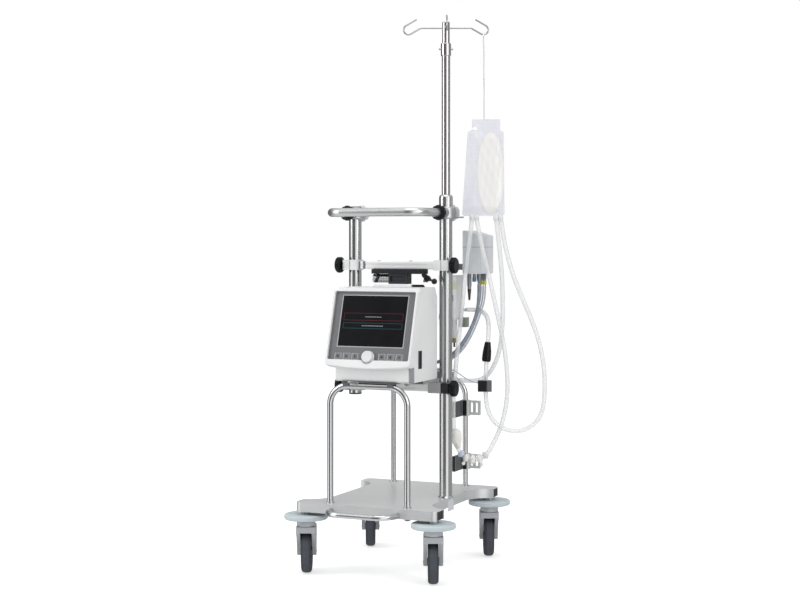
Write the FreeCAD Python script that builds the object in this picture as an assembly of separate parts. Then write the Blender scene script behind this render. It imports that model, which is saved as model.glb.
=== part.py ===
"""Cart for extracorporeal membrane oxygenation, in millimetres.

X points to the operator's right, Y to the back and Z up. The origin is on the
floor, midway between the four swivel casters.
"""
import FreeCAD, Part
import math
import os

V = FreeCAD.Vector
X_AXIS, Y_AXIS, Z_AXIS = V(1, 0, 0), V(0, 1, 0), V(0, 0, 1)
os.makedirs("parts", exist_ok=True)

# Fits and gaps
CONTACT_GAP = 0.3      # between faces of two bodies that nearly touch
RUN_FIT = 0.05         # radial, of a turning shaft in its hole
SLIDE_FIT = 0.1        # radial, of the telescopic pole

# Casters
CASTER_X = 200.0       # swivel axis, from the middle
CASTER_Y = 224.5
TRAIL = 40.0           # wheel centre behind the swivel axis
TRAIL_TURN = 23.5      # how far the parked forks are turned from straight back
WHEEL_D = 125.0
TREAD = 30.0
TYRE_WALL = 14.0
AXLE_R = 4.0
AXLE_PROUD = 1.0
FORK_WIDTH = 56.0
FORK_LEG = 11.0
FORK_CLEAR = 3.5       # wheel to the arch of the fork
CROWN = 14.5           # height of the fork over the arch
SWIVEL_R = 27.0
SWIVEL_H = 20.7
STEM_R = 6.0
BUMPER_R = 63.5
BUMPER_T = 15.0
SPACER_H = 10.3

# Base
BEAM_W = 40.0
BEAM_H = 25.0
BEAM_WALL = 2.5
BEAM_CAP = 4.0
BEAM_PLUG = 3.0
PLATE_HALF_X = 222.0
PLATE_HALF_Y = 255.0
PLATE_CORNER = 18.0
SHEET = 2.0
SKIRT = 28.0
WAIST_X = 162.0
WAIST_Y = 200.0
WAIST_R = 75.0
PULL_TUBE_R = 8.0
PULL_HALF = 104.0
PULL_OUT = 62.0
PULL_BEND = 50.0
PULL_DROP = 18.0       # below the plate's top

# Hoops that carry the console and the holders
HOOP_Y = 226.0
FRONT_HOOP_R = 9.0
FRONT_HOOP_X = 121.0
FRONT_HOOP_TOP = 556.0
REAR_HOOP_R = 8.0
REAR_HOOP_X = 121.0
REAR_HOOP_TOP = 548.0
HOOP_BEND = 55.0
HOOP_FOOT_R = 12.0
HOOP_FOOT_H = 3.0
HOOP_STUD_R = 5.0
NUT_ACROSS = 17.0
NUT_H = 8.0

# Columns and pole
COLUMN_X = 147.0
COLUMN_R = 19.0
COLUMN_WALL = 2.0
COLUMN_TOP = 1072.0
COLUMN_WELD = 4.0      # bead round the column's foot
DOME_R = 20.3
DOME_H = 35.0
SIDE_TOP = 1068.0
SIDE_CAP_H = 6.0
SIDE_BELOW_BAR = 26.0
POLE_R = 12.5
POLE_BOTTOM = 900.0
POLE_TOP = 1530.0
COLLAR_R = 15.0
COLLAR_TOP = 1551.0
COLLAR_H = 38.0
COLLAR_STUD_R = 3.5
COLLAR_STUD = 6.0
HOOK_POLE_R = 11.0
HOOK_POLE_WALL = 1.5
HOOK_POLE_BOTTOM = 1000.0
HOOK_POLE_TOP = 1583.0
HOOK_HEAD_TOP = 1614.0
HOOK_Z = 1595.0
HOOK_WIRE_R = 2.5
HOOK_STRAIGHT = 74.0
HOOK_REACH = 103.0
HOOK_DIP = 17.0
HOOK_CURL_R = 14.0
HOOK_TIP = 36.0

# Push handle
HANDLE_Z = 1053.5
HANDLE_R = 12.5
HANDLE_WALL = 2.0
HANDLE_OUT = 195.0
HANDLE_BEND = 45.0
HANDLE_INSERT = 26.0
CLAMP_R = 28.0
CLAMP_H = 35.0
CLAMP_BOSS_R = 18.5
CLAMP_BOSS_Y = 46.0
RING_R = 22.5
RING_T = 12.0
RING_Y = 50.0
HANDLE_KNOB_R = 25.0
HANDLE_KNOB_H = 18.0
CLAMP_LUG_Y = 33.0
GUIDE_ROD_R = 2.5
GUIDE_ROD = 20.0
GUIDE_ROD_DROP = 13.0    # below the handle

# Cross bars with split jaws on the columns
UPPER_BAR_Z = 899.0
LOWER_BAR_Z = FRONT_HOOP_TOP - 16
BAR_Y = -30.0
BAR_H = 23.0
BAR_T = 14.0
JAW_HALF = 25.0
LOWER_JAW_REACH = 42.0  # of the lower bar's inner jaws, from the column's middle
JAW_FRONT = -40.0
JAW_BACK = 8.0
JAW_H = 30.0
JAW_SPLIT = 2.0
SCREW_R = 4.0
KNOB_R = 24.0
KNOB_H = 17.0
KNOB_LOBES = 7
KNOB_STANDOFF = 4.0

# Console
TRAY_RISE = 3.0         # tray's floor over the hoop
CONSOLE_X = 3.0
CONSOLE_W = 266.0
CONSOLE_BOTTOM = FRONT_HOOP_TOP + FRONT_HOOP_R + TRAY_RISE
CONSOLE_TOP = CONSOLE_BOTTOM + 268.0
CONSOLE_BACK = -29.0
CONSOLE_FRONT = -226.0
LIP_Y = -248.6
LIP_Z = CONSOLE_BOTTOM + 49.0
FACE_TURN = 72.9       # slope of the front face, from level
FACE_H = 223.0
FRAME_T = 26.0
FRAME_BULGE = 9.0
BODY_INSET = 5.0
LOW_INSET = 21.0       # more, on the left below the frame
SHELL_WALL = 4.0
PANEL_RECESS = 8.0
PANEL_T = 6.0
PANEL_MARGIN = 6.0
PANEL_BOTTOM = 16.0
PANEL_LEDGE = 8.0
SCREEN_W = 204.0
SCREEN_H = 150.0
SCREEN_BOTTOM = 57.5
GLASS_T = 2.0
SCREEN_STEP = 4.0
KEY_SIZE = 20.0
KEY_T = 6.0
KEY_PROUD = 1.6
KEY_PITCH = 27.0
KEY_FIRST = 42.0
KEY_V = 27.5
MENU_KNOB_R = 18.5
MENU_KNOB_H = 14.0
MENU_KNOB_V = 26.0
KNOB_RELIEF = 2.0
MENU_SHAFT_R = 3.0
DISPLAY_T = 14.0

# Dock under the upper bar, and the tray under the console
DOCK_W = 170.0
DOCK_X = 15.0
DOCK_FRONT = -60.0
DOCK_BACK = -16.0
DOCK_T = 13.5
DOCK_BLOCK_X = 17.0
DOCK_BLOCK_W = 62.0
DOCK_BLOCK_H = 30.0
BARREL_R = 13.0
BARREL = 55.0
LEVER_X = 109.0
LEVER_Y = -52.0
LEVER_DROP = 13.0
LEVER_ARM = 24.0
LEVER_BALL_R = 8.5
TRAY_W = 170.0
TRAY_T = 2.4

# Sensor box
BOX_X0, BOX_X1 = 180.0, 236.0
BOX_Y0, BOX_Y1 = 50.0, 160.0
BOX_BOTTOM = 873.0
BOX_HIGH, BOX_LOW = 1003.0, 986.0

# Arms on the column, and the lung and pump behind it
ARM_W = 18.0
ARM_X0, ARM_X1 = COLUMN_X - 20, COLUMN_X - 2
SADDLE_H = 26.0
SADDLE_X0 = COLUMN_X - 22
BOX_ARM_Z = 893.0
LUNG_ARM_Z = 800.0
LUNG_X, LUNG_Y = 124.0, 100.0
LUNG_W, LUNG_D, LUNG_H = 54.0, 76.0, 100.0
LUNG_BOTTOM = 752.0
LUNG_CAP = 16.0
LUNG_DRAIN = 84.0      # length of the stopped drain under it
LUNG_INSET = 2.0       # core inside the edge of the caps
OUTLET_Y = 118.0
PORT_R = 5.0
PUMP_X = 12.0          # closed end of the motor
PUMP_Y, PUMP_Z = 105.0, 553.0
PUMP_R = 35.0
PUMP_H = 84.0
HEAD_R = 33.0
HEAD_H = 26.0
HEAD_WALL = 3.0
HEAD_MID = 7.0         # outlet's distance from the motor

# Holders on the rear hoop
HOLDER_Z = (457.0, 293.0)
HOLDER_H = 47.0
HOLDER_WING_Y = 80.0
HOLDER_WING_X = 50.0

# Soft goods
HOSE_R = 6.35
CABLE_R = 5.0
PROBE_R = 2.4
FLOW_CABLE_R = 1.6
STRAP_R = 2.0
SENSOR_W, SENSOR_H = 30.0, 32.0
SENSOR_SEAM = 1.0      # parting plane beside the hose's middle
SENSOR_HINGE_Y = 19.0
HINGE_PIN_R = 1.8
VIEW_TURN = 23.5       # the plane in which the hoses hang, from the X axis
POUCH_T = 16.0
POUCH_BOTTOM = 1044.0
POUCH_TOP = 1294.0
POUCH_HEADER_TOP = 1328.0

# Worked out from the above
WHEEL_R = WHEEL_D / 2
FORK_TOP = WHEEL_D + FORK_CLEAR + CROWN
BUMPER_Z = FORK_TOP + CONTACT_GAP + SWIVEL_H
BEAM_Z = BUMPER_Z + BUMPER_T + SPACER_H
PLATE_UNDER = BEAM_Z + BEAM_H
PLATE_TOP = PLATE_UNDER + SHEET
BEAM_HALF = PLATE_HALF_X - 3.0 - BEAM_CAP
FRAME_BACK = -FRAME_T
PANEL_W = CONSOLE_W - 2 * PANEL_MARGIN
PANEL_H = FACE_H - PANEL_BOTTOM - 4.0
DOCK_TOP = UPPER_BAR_Z - BAR_H / 2


def box(x0, x1, y0, y1, z0, z1):
    return Part.makeBox(x1 - x0, y1 - y0, z1 - z0, V(x0, y0, z0))


def rod(radius, start, end):
    """Round bar between two points."""
    axis = V(*end) - V(*start)
    return Part.makeCylinder(radius, axis.Length, V(*start), axis)


def pipe(outer, inner, start, end):
    return rod(outer, start, end).cut(rod(inner, start, end))


def rounded(shape, radius, axis=Z_AXIS):
    """Fillet of every straight edge that runs along the axis."""
    edges = [e for e in shape.Edges
             if e.Curve.TypeId == "Part::GeomLine" and abs(e.tangentAt(e.FirstParameter).dot(axis)) > 0.999]
    return shape.makeFillet(radius, edges)


def revolved(profile):
    """Solid of a half section, given as radius and height, about Z."""
    points = [V(r, 0, h) for r, h in profile]
    return Part.Face(Part.makePolygon(points + points[:1])).revolve(V(0, 0, 0), Z_AXIS, 360)


def bent_wire(points, radius):
    """Path of straight runs with one bend radius at every corner."""
    knots = [V(*p) for p in points]
    edges = []
    here = knots[0]
    for before, corner, after in zip(knots, knots[1:], knots[2:]):
        arrive = (corner - before).normalize()
        leave = (after - corner).normalize()
        half = arrive.getAngle(leave) / 2
        reach = radius * math.tan(half)
        inwards = (leave - arrive).normalize()
        start = corner - arrive * reach
        end = corner + leave * reach
        middle = corner + inwards * (radius / math.cos(half) - radius)
        edges.append(Part.LineSegment(here, start).toShape())
        edges.append(Part.Arc(start, middle, end).toShape())
        here = end
    edges.append(Part.LineSegment(here, knots[-1]).toShape())
    return Part.Wire(edges)


def swept(wire, radius):
    """Round section swept along a wire."""
    first = wire.Edges[0]
    start = first.valueAt(first.FirstParameter)
    circle = Part.Wire(Part.makeCircle(radius, start, first.tangentAt(first.FirstParameter)))
    return wire.makePipe(Part.Face(circle))


def bent_tube(points, bend, outer, wall):
    wire = bent_wire(points, bend)
    return swept(wire, outer).cut(swept(wire, outer - wall))


def hexagon_nut(across, height, base):
    corner = across / math.sqrt(3)
    points = [V(corner * math.cos(i * math.pi / 3), corner * math.sin(i * math.pi / 3), 0) for i in range(7)]
    nut = Part.Face(Part.makePolygon(points)).extrude(V(0, 0, height))
    nut.translate(V(*base))
    return nut


def star_knob(radius, height, lobes, screw_radius, screw_length, standoff):
    """Lobed grip above Z = 0, its neck below and the screw under the neck."""
    grip = Part.makeCylinder(radius, height)
    grip = grip.makeFillet(height * 0.34, grip.Edges)
    for i in range(lobes):
        turn = 2 * math.pi * i / lobes
        scallop = Part.makeCylinder(radius * 0.3, height, V(radius * 1.16 * math.cos(turn), radius * 1.16 * math.sin(turn), 0))
        grip = grip.cut(scallop)
    neck = rod(radius * 0.36, (0, 0, -standoff + CONTACT_GAP), (0, 0, 1))
    screw = rod(screw_radius, (0, 0, -standoff - screw_length), (0, 0, 1))
    return grip.fuse([neck, screw]).removeSplitter()


def save(node, *solids):
    """Write the solids of one node to its STEP file."""
    shape = solids[0] if len(solids) == 1 else Part.makeCompound(list(solids))
    if not shape.isValid():
        print("invalid", node)
    shape.exportStep("parts/" + node + ".step")


# Base

def plate_outline(inset, bottom, top):
    """Waisted plate with rounded corners, drawn in by an inset."""
    half_x = PLATE_HALF_X - inset
    half_y = PLATE_HALF_Y - inset
    blank = rounded(box(-half_x, half_x, -half_y, half_y, bottom, top), PLATE_CORNER - inset)
    waist_x = WAIST_X - inset
    waist_y = WAIST_Y + inset
    for side in (-1, 1):
        far = side * (PLATE_HALF_X + 150)
        near = side * waist_x
        bite = box(min(near, far), max(near, far), -waist_y, waist_y, bottom, top)
        blank = blank.cut(rounded(bite, WAIST_R + inset))
    return blank


def base_plate():
    """Sheet with a turned-down skirt, open at the beam ends."""
    skirt_bottom = PLATE_TOP - SKIRT
    plate = plate_outline(0, skirt_bottom, PLATE_TOP).cut(plate_outline(SHEET, skirt_bottom, PLATE_UNDER))
    for sx in (-1, 1):
        for sy in (-1, 1):
            x = sx * PLATE_HALF_X
            y = sy * CASTER_Y
            reach = BEAM_W / 2 + 1
            plate = plate.cut(box(x - 6, x + 6, y - reach, y + reach, skirt_bottom, PLATE_UNDER))
    for x in (-PULL_HALF, PULL_HALF):
        z = PLATE_TOP - PULL_DROP
        plate = plate.cut(rod(PULL_TUBE_R, (x, -PLATE_HALF_Y - 5, z), (x, -PLATE_HALF_Y + 5, z)))
    for x, y, _ in hoop_feet():
        plate = plate.cut(rod(HOOP_STUD_R, (x, y, BEAM_Z), (x, y, PLATE_TOP)))
    return plate


def hoop_feet():
    """Foot of each hoop leg: x, y and tube radius."""
    feet = []
    for side in (-1, 1):
        feet.append((side * FRONT_HOOP_X, -HOOP_Y, FRONT_HOOP_R))
        feet.append((side * REAR_HOOP_X, HOOP_Y, REAR_HOOP_R))
    return feet


def base_beams():
    """Two rectangular tubes under the plate, each with two plugs in its ends."""
    solids = []
    for sy in (-1, 1):
        y = sy * CASTER_Y
        half = BEAM_W / 2
        tube = rounded(box(-BEAM_HALF, BEAM_HALF, y - half, y + half, BEAM_Z, PLATE_UNDER), 3, X_AXIS)
        inner = (y - half + BEAM_WALL, y + half - BEAM_WALL, BEAM_Z + BEAM_WALL, PLATE_UNDER - BEAM_WALL)
        tube = tube.cut(box(-BEAM_HALF, BEAM_HALF, *inner))
        for sx in (-1, 1):
            x = sx * CASTER_X
            tube = tube.cut(rod(STEM_R, (x, y, BEAM_Z - 1), (x, y, BEAM_Z + BEAM_WALL + 1)))
        for x, foot_y, _ in hoop_feet():
            if foot_y * sy > 0:
                tube = tube.cut(rod(HOOP_STUD_R, (x, foot_y, BEAM_Z - 1), (x, foot_y, PLATE_TOP)))
        solids.append(tube)
        for sx in (-1, 1):
            end = sx * BEAM_HALF
            lid = box(min(end, end + sx * BEAM_CAP), max(end, end + sx * BEAM_CAP),
                      y - half, y + half, BEAM_Z, PLATE_UNDER)
            plug = box(min(end, end - sx * BEAM_PLUG), max(end, end - sx * BEAM_PLUG), *inner)
            solids.append(rounded(lid, 1.5, X_AXIS).fuse(plug).removeSplitter())
    return solids


def pull_hoop():
    """Bent tube in front of the base, welded to the front beam."""
    z = PLATE_TOP - PULL_DROP
    root = -CASTER_Y - BEAM_W / 2
    front = -PLATE_HALF_Y - PULL_OUT
    points = [(-PULL_HALF, root, z), (-PULL_HALF, front, z), (PULL_HALF, front, z), (PULL_HALF, root, z)]
    return bent_tube(points, PULL_BEND, PULL_TUBE_R, 1.5)


def caster_mounts():
    """Swivel head, bumper disc, spacer, stem and nut of each caster."""
    rim = 5.0
    disc = Part.makeCylinder(BUMPER_R, BUMPER_T)
    disc = disc.makeFillet(rim, [e for e in disc.Edges if e.Curve.TypeId == "Part::GeomCircle"])
    disc = disc.cut(Part.makeCylinder(STEM_R, BUMPER_T))
    head = revolved([(STEM_R, 0), (SWIVEL_R, 0), (SWIVEL_R, SWIVEL_H * 0.6), (SWIVEL_R - 2, SWIVEL_H * 0.85),
                     (SWIVEL_R - 6, SWIVEL_H), (STEM_R, SWIVEL_H)])
    spacer = pipe(14, STEM_R, (0, 0, 0), (0, 0, SPACER_H))
    stem_low = FORK_TOP - CROWN - 3 - CONTACT_GAP - 3
    stem = rod(STEM_R, (0, 0, stem_low), (0, 0, BEAM_Z + BEAM_WALL + 14))
    stem = stem.fuse(rod(10, (0, 0, stem_low), (0, 0, stem_low + 3))).removeSplitter()
    nut = hexagon_nut(19, 9, (0, 0, 0)).cut(rod(STEM_R, (0, 0, -1), (0, 0, 10)))
    solids = []
    for sx in (-1, 1):
        for sy in (-1, 1):
            for piece, z in ((head, FORK_TOP + CONTACT_GAP), (disc, BUMPER_Z), (spacer, BUMPER_Z + BUMPER_T),
                             (stem, 0), (nut, BEAM_Z + BEAM_WALL)):
                solids.append(piece.translated(V(sx * CASTER_X, sy * CASTER_Y, z)))
    return solids


def caster_fork():
    """Arched fork that trails along +Y, with its wheel's axle."""
    half = FORK_WIDTH / 2
    slot = half - FORK_LEG
    under = FORK_TOP - CROWN - 3
    boss = 12.0
    low = V(0, TRAIL, WHEEL_R - boss)
    outline = [V(0, -26, FORK_TOP), V(0, 52, FORK_TOP), V(0, 63, FORK_TOP - 12), V(0, TRAIL + boss, WHEEL_R)]
    front = [V(0, TRAIL - boss, WHEEL_R), V(0, -4, 112), V(0, -26, under), V(0, -26, FORK_TOP)]
    edges = [Part.LineSegment(a, b).toShape() for a, b in zip(outline, outline[1:])]
    edges.append(Part.Arc(outline[-1], low, front[0]).toShape())
    edges += [Part.LineSegment(a, b).toShape() for a, b in zip(front, front[1:])]
    fork = Part.Face(Part.Wire(edges)).extrude(V(FORK_WIDTH, 0, 0))
    fork.translate(V(-half, 0, 0))
    arch = rod(WHEEL_R + FORK_CLEAR, (-slot, TRAIL, WHEEL_R), (slot, TRAIL, WHEEL_R))
    fork = fork.cut([arch, box(-slot, slot, -40, 90, 0, under)])
    fork = fork.cut(rod(STEM_R + RUN_FIT, (0, 0, under - 1), (0, 0, FORK_TOP + 1)))
    fork = fork.cut(rod(AXLE_R, (-half - 1, TRAIL, WHEEL_R), (half + 1, TRAIL, WHEEL_R)))
    axle = rod(AXLE_R, (-half - AXLE_PROUD, TRAIL, WHEEL_R), (half + AXLE_PROUD, TRAIL, WHEEL_R))
    return [fork, axle]


def caster_wheel():
    """Tyre and spoked hub on an axle along X, at the wheel's centre."""
    half = TREAD / 2
    rim = WHEEL_R - TYRE_WALL
    edge = 7.0
    section = [V(rim, 0, -half), V(WHEEL_R - edge, 0, -half), V(WHEEL_R - 2, 0, -half + 3), V(WHEEL_R, 0, -half + 9)]
    section += [V(p.x, 0, -p.z) for p in reversed(section)]
    tyre = Part.Face(Part.makePolygon(section + section[:1])).revolve(V(0, 0, 0), Z_AXIS, 360)
    boss = FORK_WIDTH / 2 - FORK_LEG - CONTACT_GAP
    hub = revolved([(AXLE_R + RUN_FIT, -boss), (12, -boss), (14, -4), (rim - 5, -4), (rim - 3, -half + 1), (rim, -half + 1),
                    (rim, half - 1), (rim - 3, half - 1), (rim - 5, 4), (14, 4), (12, boss), (AXLE_R + RUN_FIT, boss)])
    for i in range(6):
        turn = math.pi * i / 3
        hub = hub.cut(Part.makeCylinder(7, 8, V(28 * math.cos(turn), 28 * math.sin(turn), -4)))
    for piece in (tyre, hub):
        piece.rotate(V(0, 0, 0), Y_AXIS, 90)
    return [tyre, hub]


def hoop(x, y, top, radius):
    """Bent tube on the plate, with its two feet, studs and nuts."""
    low = PLATE_TOP + HOOP_FOOT_H - 1
    tube = bent_tube([(-x, y, low), (-x, y, top), (x, y, top), (x, y, low)], HOOP_BEND, radius, 1.5)
    solids = []
    for sx in (-1, 1):
        foot = rod(HOOP_FOOT_R, (sx * x, y, PLATE_TOP), (sx * x, y, PLATE_TOP + HOOP_FOOT_H))
        tube = tube.fuse(foot)
    solids.append(tube.removeSplitter())
    for sx in (-1, 1):
        stud = rod(HOOP_STUD_R, (sx * x, y, BEAM_Z - NUT_H - 2), (sx * x, y, PLATE_TOP))
        nut = hexagon_nut(NUT_ACROSS, NUT_H, (sx * x, y, BEAM_Z - NUT_H))
        solids.append(stud.fuse(nut).removeSplitter())
    return solids


# Columns, pole and hooks

def main_column():
    """Tall tube welded to the plate, with a domed cap that guides the pole."""
    foot = revolved([(0, 0), (COLUMN_R + COLUMN_WELD, 0), (COLUMN_R + COLUMN_WELD / 2, COLUMN_WELD / 2),
                     (COLUMN_R, COLUMN_WELD), (0, COLUMN_WELD)])
    foot.translate(V(COLUMN_X, 0, PLATE_TOP))
    tube = rod(COLUMN_R, (COLUMN_X, 0, PLATE_TOP), (COLUMN_X, 0, COLUMN_TOP))
    bore = rod(COLUMN_R - COLUMN_WALL, (COLUMN_X, 0, PLATE_TOP), (COLUMN_X, 0, COLUMN_TOP))
    column = foot.fuse(tube).cut(bore).removeSplitter()
    shoulder = DOME_H * 0.72
    half = [V(POLE_R, 0, -30), V(COLUMN_R - COLUMN_WALL, 0, -30), V(COLUMN_R - COLUMN_WALL, 0, 0), V(DOME_R, 0, 0),
            V(DOME_R, 0, shoulder)]
    edges = [Part.LineSegment(a, b).toShape() for a, b in zip(half, half[1:])]
    crown = V(POLE_R, 0, DOME_H)
    edges.append(Part.Arc(half[-1], V(DOME_R - 2.4, 0, DOME_H - 3.2), crown).toShape())
    edges.append(Part.LineSegment(crown, half[0]).toShape())
    dome = Part.Face(Part.Wire(edges)).revolve(V(0, 0, 0), Z_AXIS, 360)
    dome.translate(V(COLUMN_X, 0, COLUMN_TOP))
    heel = pipe(COLUMN_R - COLUMN_WALL, POLE_R, (COLUMN_X, 0, POLE_BOTTOM + 5), (COLUMN_X, 0, POLE_BOTTOM + 35))
    return [column, dome, heel]


def side_column():
    """Short tube that hangs in the two bars, with a plug at each end."""
    x = -COLUMN_X
    bottom = LOWER_BAR_Z - SIDE_BELOW_BAR
    tube = pipe(COLUMN_R, COLUMN_R - COLUMN_WALL, (x, 0, bottom), (x, 0, SIDE_TOP))
    inner = COLUMN_R - COLUMN_WALL
    cap = rod(COLUMN_R, (x, 0, SIDE_TOP), (x, 0, SIDE_TOP + SIDE_CAP_H))
    cap = cap.makeFillet(1.5, [e for e in cap.Edges if e.CenterOfMass.z > SIDE_TOP + SIDE_CAP_H - 0.01])
    cap = cap.fuse(rod(inner, (x, 0, SIDE_TOP - 15), (x, 0, SIDE_TOP))).removeSplitter()
    plug = rod(COLUMN_R, (x, 0, bottom - 4), (x, 0, bottom))
    plug = plug.fuse(rod(inner, (x, 0, bottom), (x, 0, bottom + 15))).removeSplitter()
    return [tube, cap, plug]


def pole_tube():
    """Fixed outer tube of the pole, with the collar that clamps the hook pole."""
    bore = HOOK_POLE_R + SLIDE_FIT
    tube = pipe(POLE_R, bore, (0, 0, POLE_BOTTOM), (0, 0, POLE_TOP))
    bottom = COLLAR_TOP - COLLAR_H
    outer = rod(COLLAR_R, (0, 0, bottom), (0, 0, COLLAR_TOP))
    outer = outer.makeFillet(3, outer.Edges)
    for side in (-1, 1):
        stud = rod(COLLAR_STUD_R, (0, 0, COLLAR_TOP - 17), (side * (COLLAR_R + COLLAR_STUD), 0, COLLAR_TOP - 17))
        outer = outer.fuse(stud)
    collar = outer.cut([rod(POLE_R, (0, 0, bottom - 1), (0, 0, POLE_TOP)), rod(bore, (0, 0, bottom), (0, 0, COLLAR_TOP + 1))])
    solids = [tube, collar]
    for piece in solids:
        piece.rotate(V(0, 0, 0), Z_AXIS, VIEW_TURN)
        piece.translate(V(COLUMN_X, 0, 0))
    return solids


def hook_wire():
    """One hook in the XZ plane: straight out, dip, curl back over itself."""
    dip = math.atan2(HOOK_DIP, HOOK_REACH - HOOK_STRAIGHT)
    out = V(math.cos(dip), 0, -math.sin(dip))
    up = V(math.sin(dip), 0, math.cos(dip))
    root = V(0, 0, HOOK_Z)
    knee = V(HOOK_STRAIGHT, 0, HOOK_Z)
    low = V(HOOK_REACH, 0, HOOK_Z - HOOK_DIP)
    bend = 10.0
    reach = bend * math.tan(dip / 2)
    first = knee - X_AXIS * reach
    last = knee + out * reach
    inwards = (out - X_AXIS).normalize()
    middle = knee + inwards * (bend / math.cos(dip / 2) - bend)
    centre = low + up * HOOK_CURL_R
    top = low + up * (2 * HOOK_CURL_R)
    edges = [Part.LineSegment(root, first).toShape(), Part.Arc(first, middle, last).toShape(),
             Part.LineSegment(last, low).toShape(), Part.Arc(low, centre + out * HOOK_CURL_R, top).toShape(),
             Part.LineSegment(top, top - out * HOOK_TIP).toShape()]
    return Part.Wire(edges)


def hook_pole():
    """Sliding tube with a head that carries four wire hooks."""
    tube = pipe(HOOK_POLE_R, HOOK_POLE_R - HOOK_POLE_WALL, (0, 0, HOOK_POLE_BOTTOM), (0, 0, HOOK_POLE_TOP))
    head = rod(HOOK_POLE_R, (0, 0, HOOK_POLE_TOP), (0, 0, HOOK_HEAD_TOP))
    head = head.makeFillet(4, [e for e in head.Edges if e.CenterOfMass.z > HOOK_HEAD_TOP - 0.01])
    head = head.fuse(rod(HOOK_POLE_R - HOOK_POLE_WALL, (0, 0, HOOK_POLE_TOP - 12), (0, 0, HOOK_POLE_TOP)))
    hook = swept(hook_wire(), HOOK_WIRE_R)
    for i in range(4):
        head = head.fuse(hook.rotated(V(0, 0, 0), Z_AXIS, 90 * i))
    solids = [tube, head.removeSplitter()]
    for piece in solids:
        piece.rotate(V(0, 0, 0), Z_AXIS, VIEW_TURN)
        piece.translate(V(COLUMN_X, 0, 0))
    return solids


# Push handle

def handle_bar():
    """U-shaped tube that reaches forward from both columns."""
    back, front = -HANDLE_INSERT, -HANDLE_OUT
    points = [(-COLUMN_X, back, HANDLE_Z), (-COLUMN_X, front, HANDLE_Z), (COLUMN_X, front, HANDLE_Z), (COLUMN_X, back, HANDLE_Z)]
    return bent_tube(points, HANDLE_BEND, HANDLE_R, HANDLE_WALL)


def handle_clamps():
    """Ring clamp with a socket for the handle, its lobed ring, and a guide rod."""
    solids = []
    for x in (-COLUMN_X, COLUMN_X):
        ring = rod(CLAMP_R, (x, 0, HANDLE_Z - CLAMP_H / 2), (x, 0, HANDLE_Z + CLAMP_H / 2))
        ring = ring.makeChamfer(3, [e for e in ring.Edges if e.Curve.TypeId == "Part::GeomCircle"])
        boss = rod(CLAMP_BOSS_R, (x, -CLAMP_BOSS_Y, HANDLE_Z), (x, 0, HANDLE_Z))
        lug = rounded(box(x - 14, x + 14, 0, CLAMP_LUG_Y, HANDLE_Z - 14, HANDLE_Z + 14), 5, Y_AXIS)
        body = ring.fuse([boss, lug]).removeSplitter()
        bore = rod(COLUMN_R, (x, 0, HANDLE_Z - CLAMP_H), (x, 0, HANDLE_Z + CLAMP_H))
        socket = rod(HANDLE_R, (x, -CLAMP_BOSS_Y - 1, HANDLE_Z), (x, -HANDLE_INSERT, HANDLE_Z))
        thread = rod(SCREW_R + RUN_FIT, (x, 0, HANDLE_Z), (x, CLAMP_LUG_Y + 1, HANDLE_Z))
        body = body.cut([bore, socket, thread])
        if x > 0:
            z = HANDLE_Z - GUIDE_ROD_DROP
            body = body.cut(rod(GUIDE_ROD_R, (x + 5, 24, z), (x + 26, 24, z)))
            solids.append(rod(GUIDE_ROD_R, (x + 5, 24, z), (x + 26 + GUIDE_ROD, 24, z)))
        solids.append(body)
        lobed = rod(RING_R, (x, -RING_Y - RING_T, HANDLE_Z), (x, -RING_Y, HANDLE_Z))
        lobed = lobed.makeFillet(2.5, [e for e in lobed.Edges if e.Curve.TypeId == "Part::GeomCircle"])
        for i in range(8):
            turn = math.pi * (i + 0.5) / 4
            cx, cz = x + RING_R * 1.1 * math.cos(turn), HANDLE_Z + RING_R * 1.1 * math.sin(turn)
            lobed = lobed.cut(rod(4, (cx, -RING_Y - RING_T, cz), (cx, -RING_Y, cz)))
        solids.append(lobed.cut(rod(HANDLE_R, (x, -RING_Y - RING_T - 1, HANDLE_Z), (x, -RING_Y + 1, HANDLE_Z))))
    return solids


def handle_knob(x):
    """Star knob behind a column; its screw presses on the column."""
    screw = CLAMP_LUG_Y - COLUMN_R - CONTACT_GAP
    knob = star_knob(HANDLE_KNOB_R, HANDLE_KNOB_H, 6, SCREW_R, screw, 3)
    knob.rotate(V(0, 0, 0), X_AXIS, -90)
    knob.translate(V(x, CLAMP_LUG_Y + 3, HANDLE_Z))
    return knob


# Cross bars

def inner_reach(level):
    """How far the inner jaw at a bar reaches from the column's middle."""
    return LOWER_JAW_REACH if level == LOWER_BAR_Z else JAW_HALF


def cross_bar(level):
    """Flat bar with a groove along its face, between the inner jaws."""
    end = COLUMN_X - inner_reach(level)
    bar = box(-end, end, BAR_Y - BAR_T / 2, BAR_Y + BAR_T / 2, level - BAR_H / 2, level + BAR_H / 2)
    bar = rounded(bar, 3, X_AXIS)
    front = BAR_Y - BAR_T / 2
    return bar.cut(box(-end, end, front - 1, front + 1.5, level - 4, level + 4))


def jaw_pair(side, level):
    """Block around the column, split into an inner and an outer jaw."""
    x = COLUMN_X
    z0, z1 = level - JAW_H / 2, level + JAW_H / 2
    reach = inner_reach(level)
    block = rounded(box(x - reach, x + JAW_HALF, JAW_FRONT, JAW_BACK, z0, z1), 4)
    hole = rod(SCREW_R + RUN_FIT, (x - JAW_HALF, BAR_Y, level), (x + JAW_HALF, BAR_Y, level))
    split = box(x - JAW_SPLIT / 2, x + JAW_SPLIT / 2, JAW_FRONT - 1, JAW_BACK + 1, z0, z1)
    block = block.cut([rod(COLUMN_R, (x, 0, z0), (x, 0, z1)), hole, split])
    if side < 0:
        block.rotate(V(0, 0, 0), Z_AXIS, 180)
        block = block.mirror(V(0, 0, 0), Y_AXIS)
    return block.Solids


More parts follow.
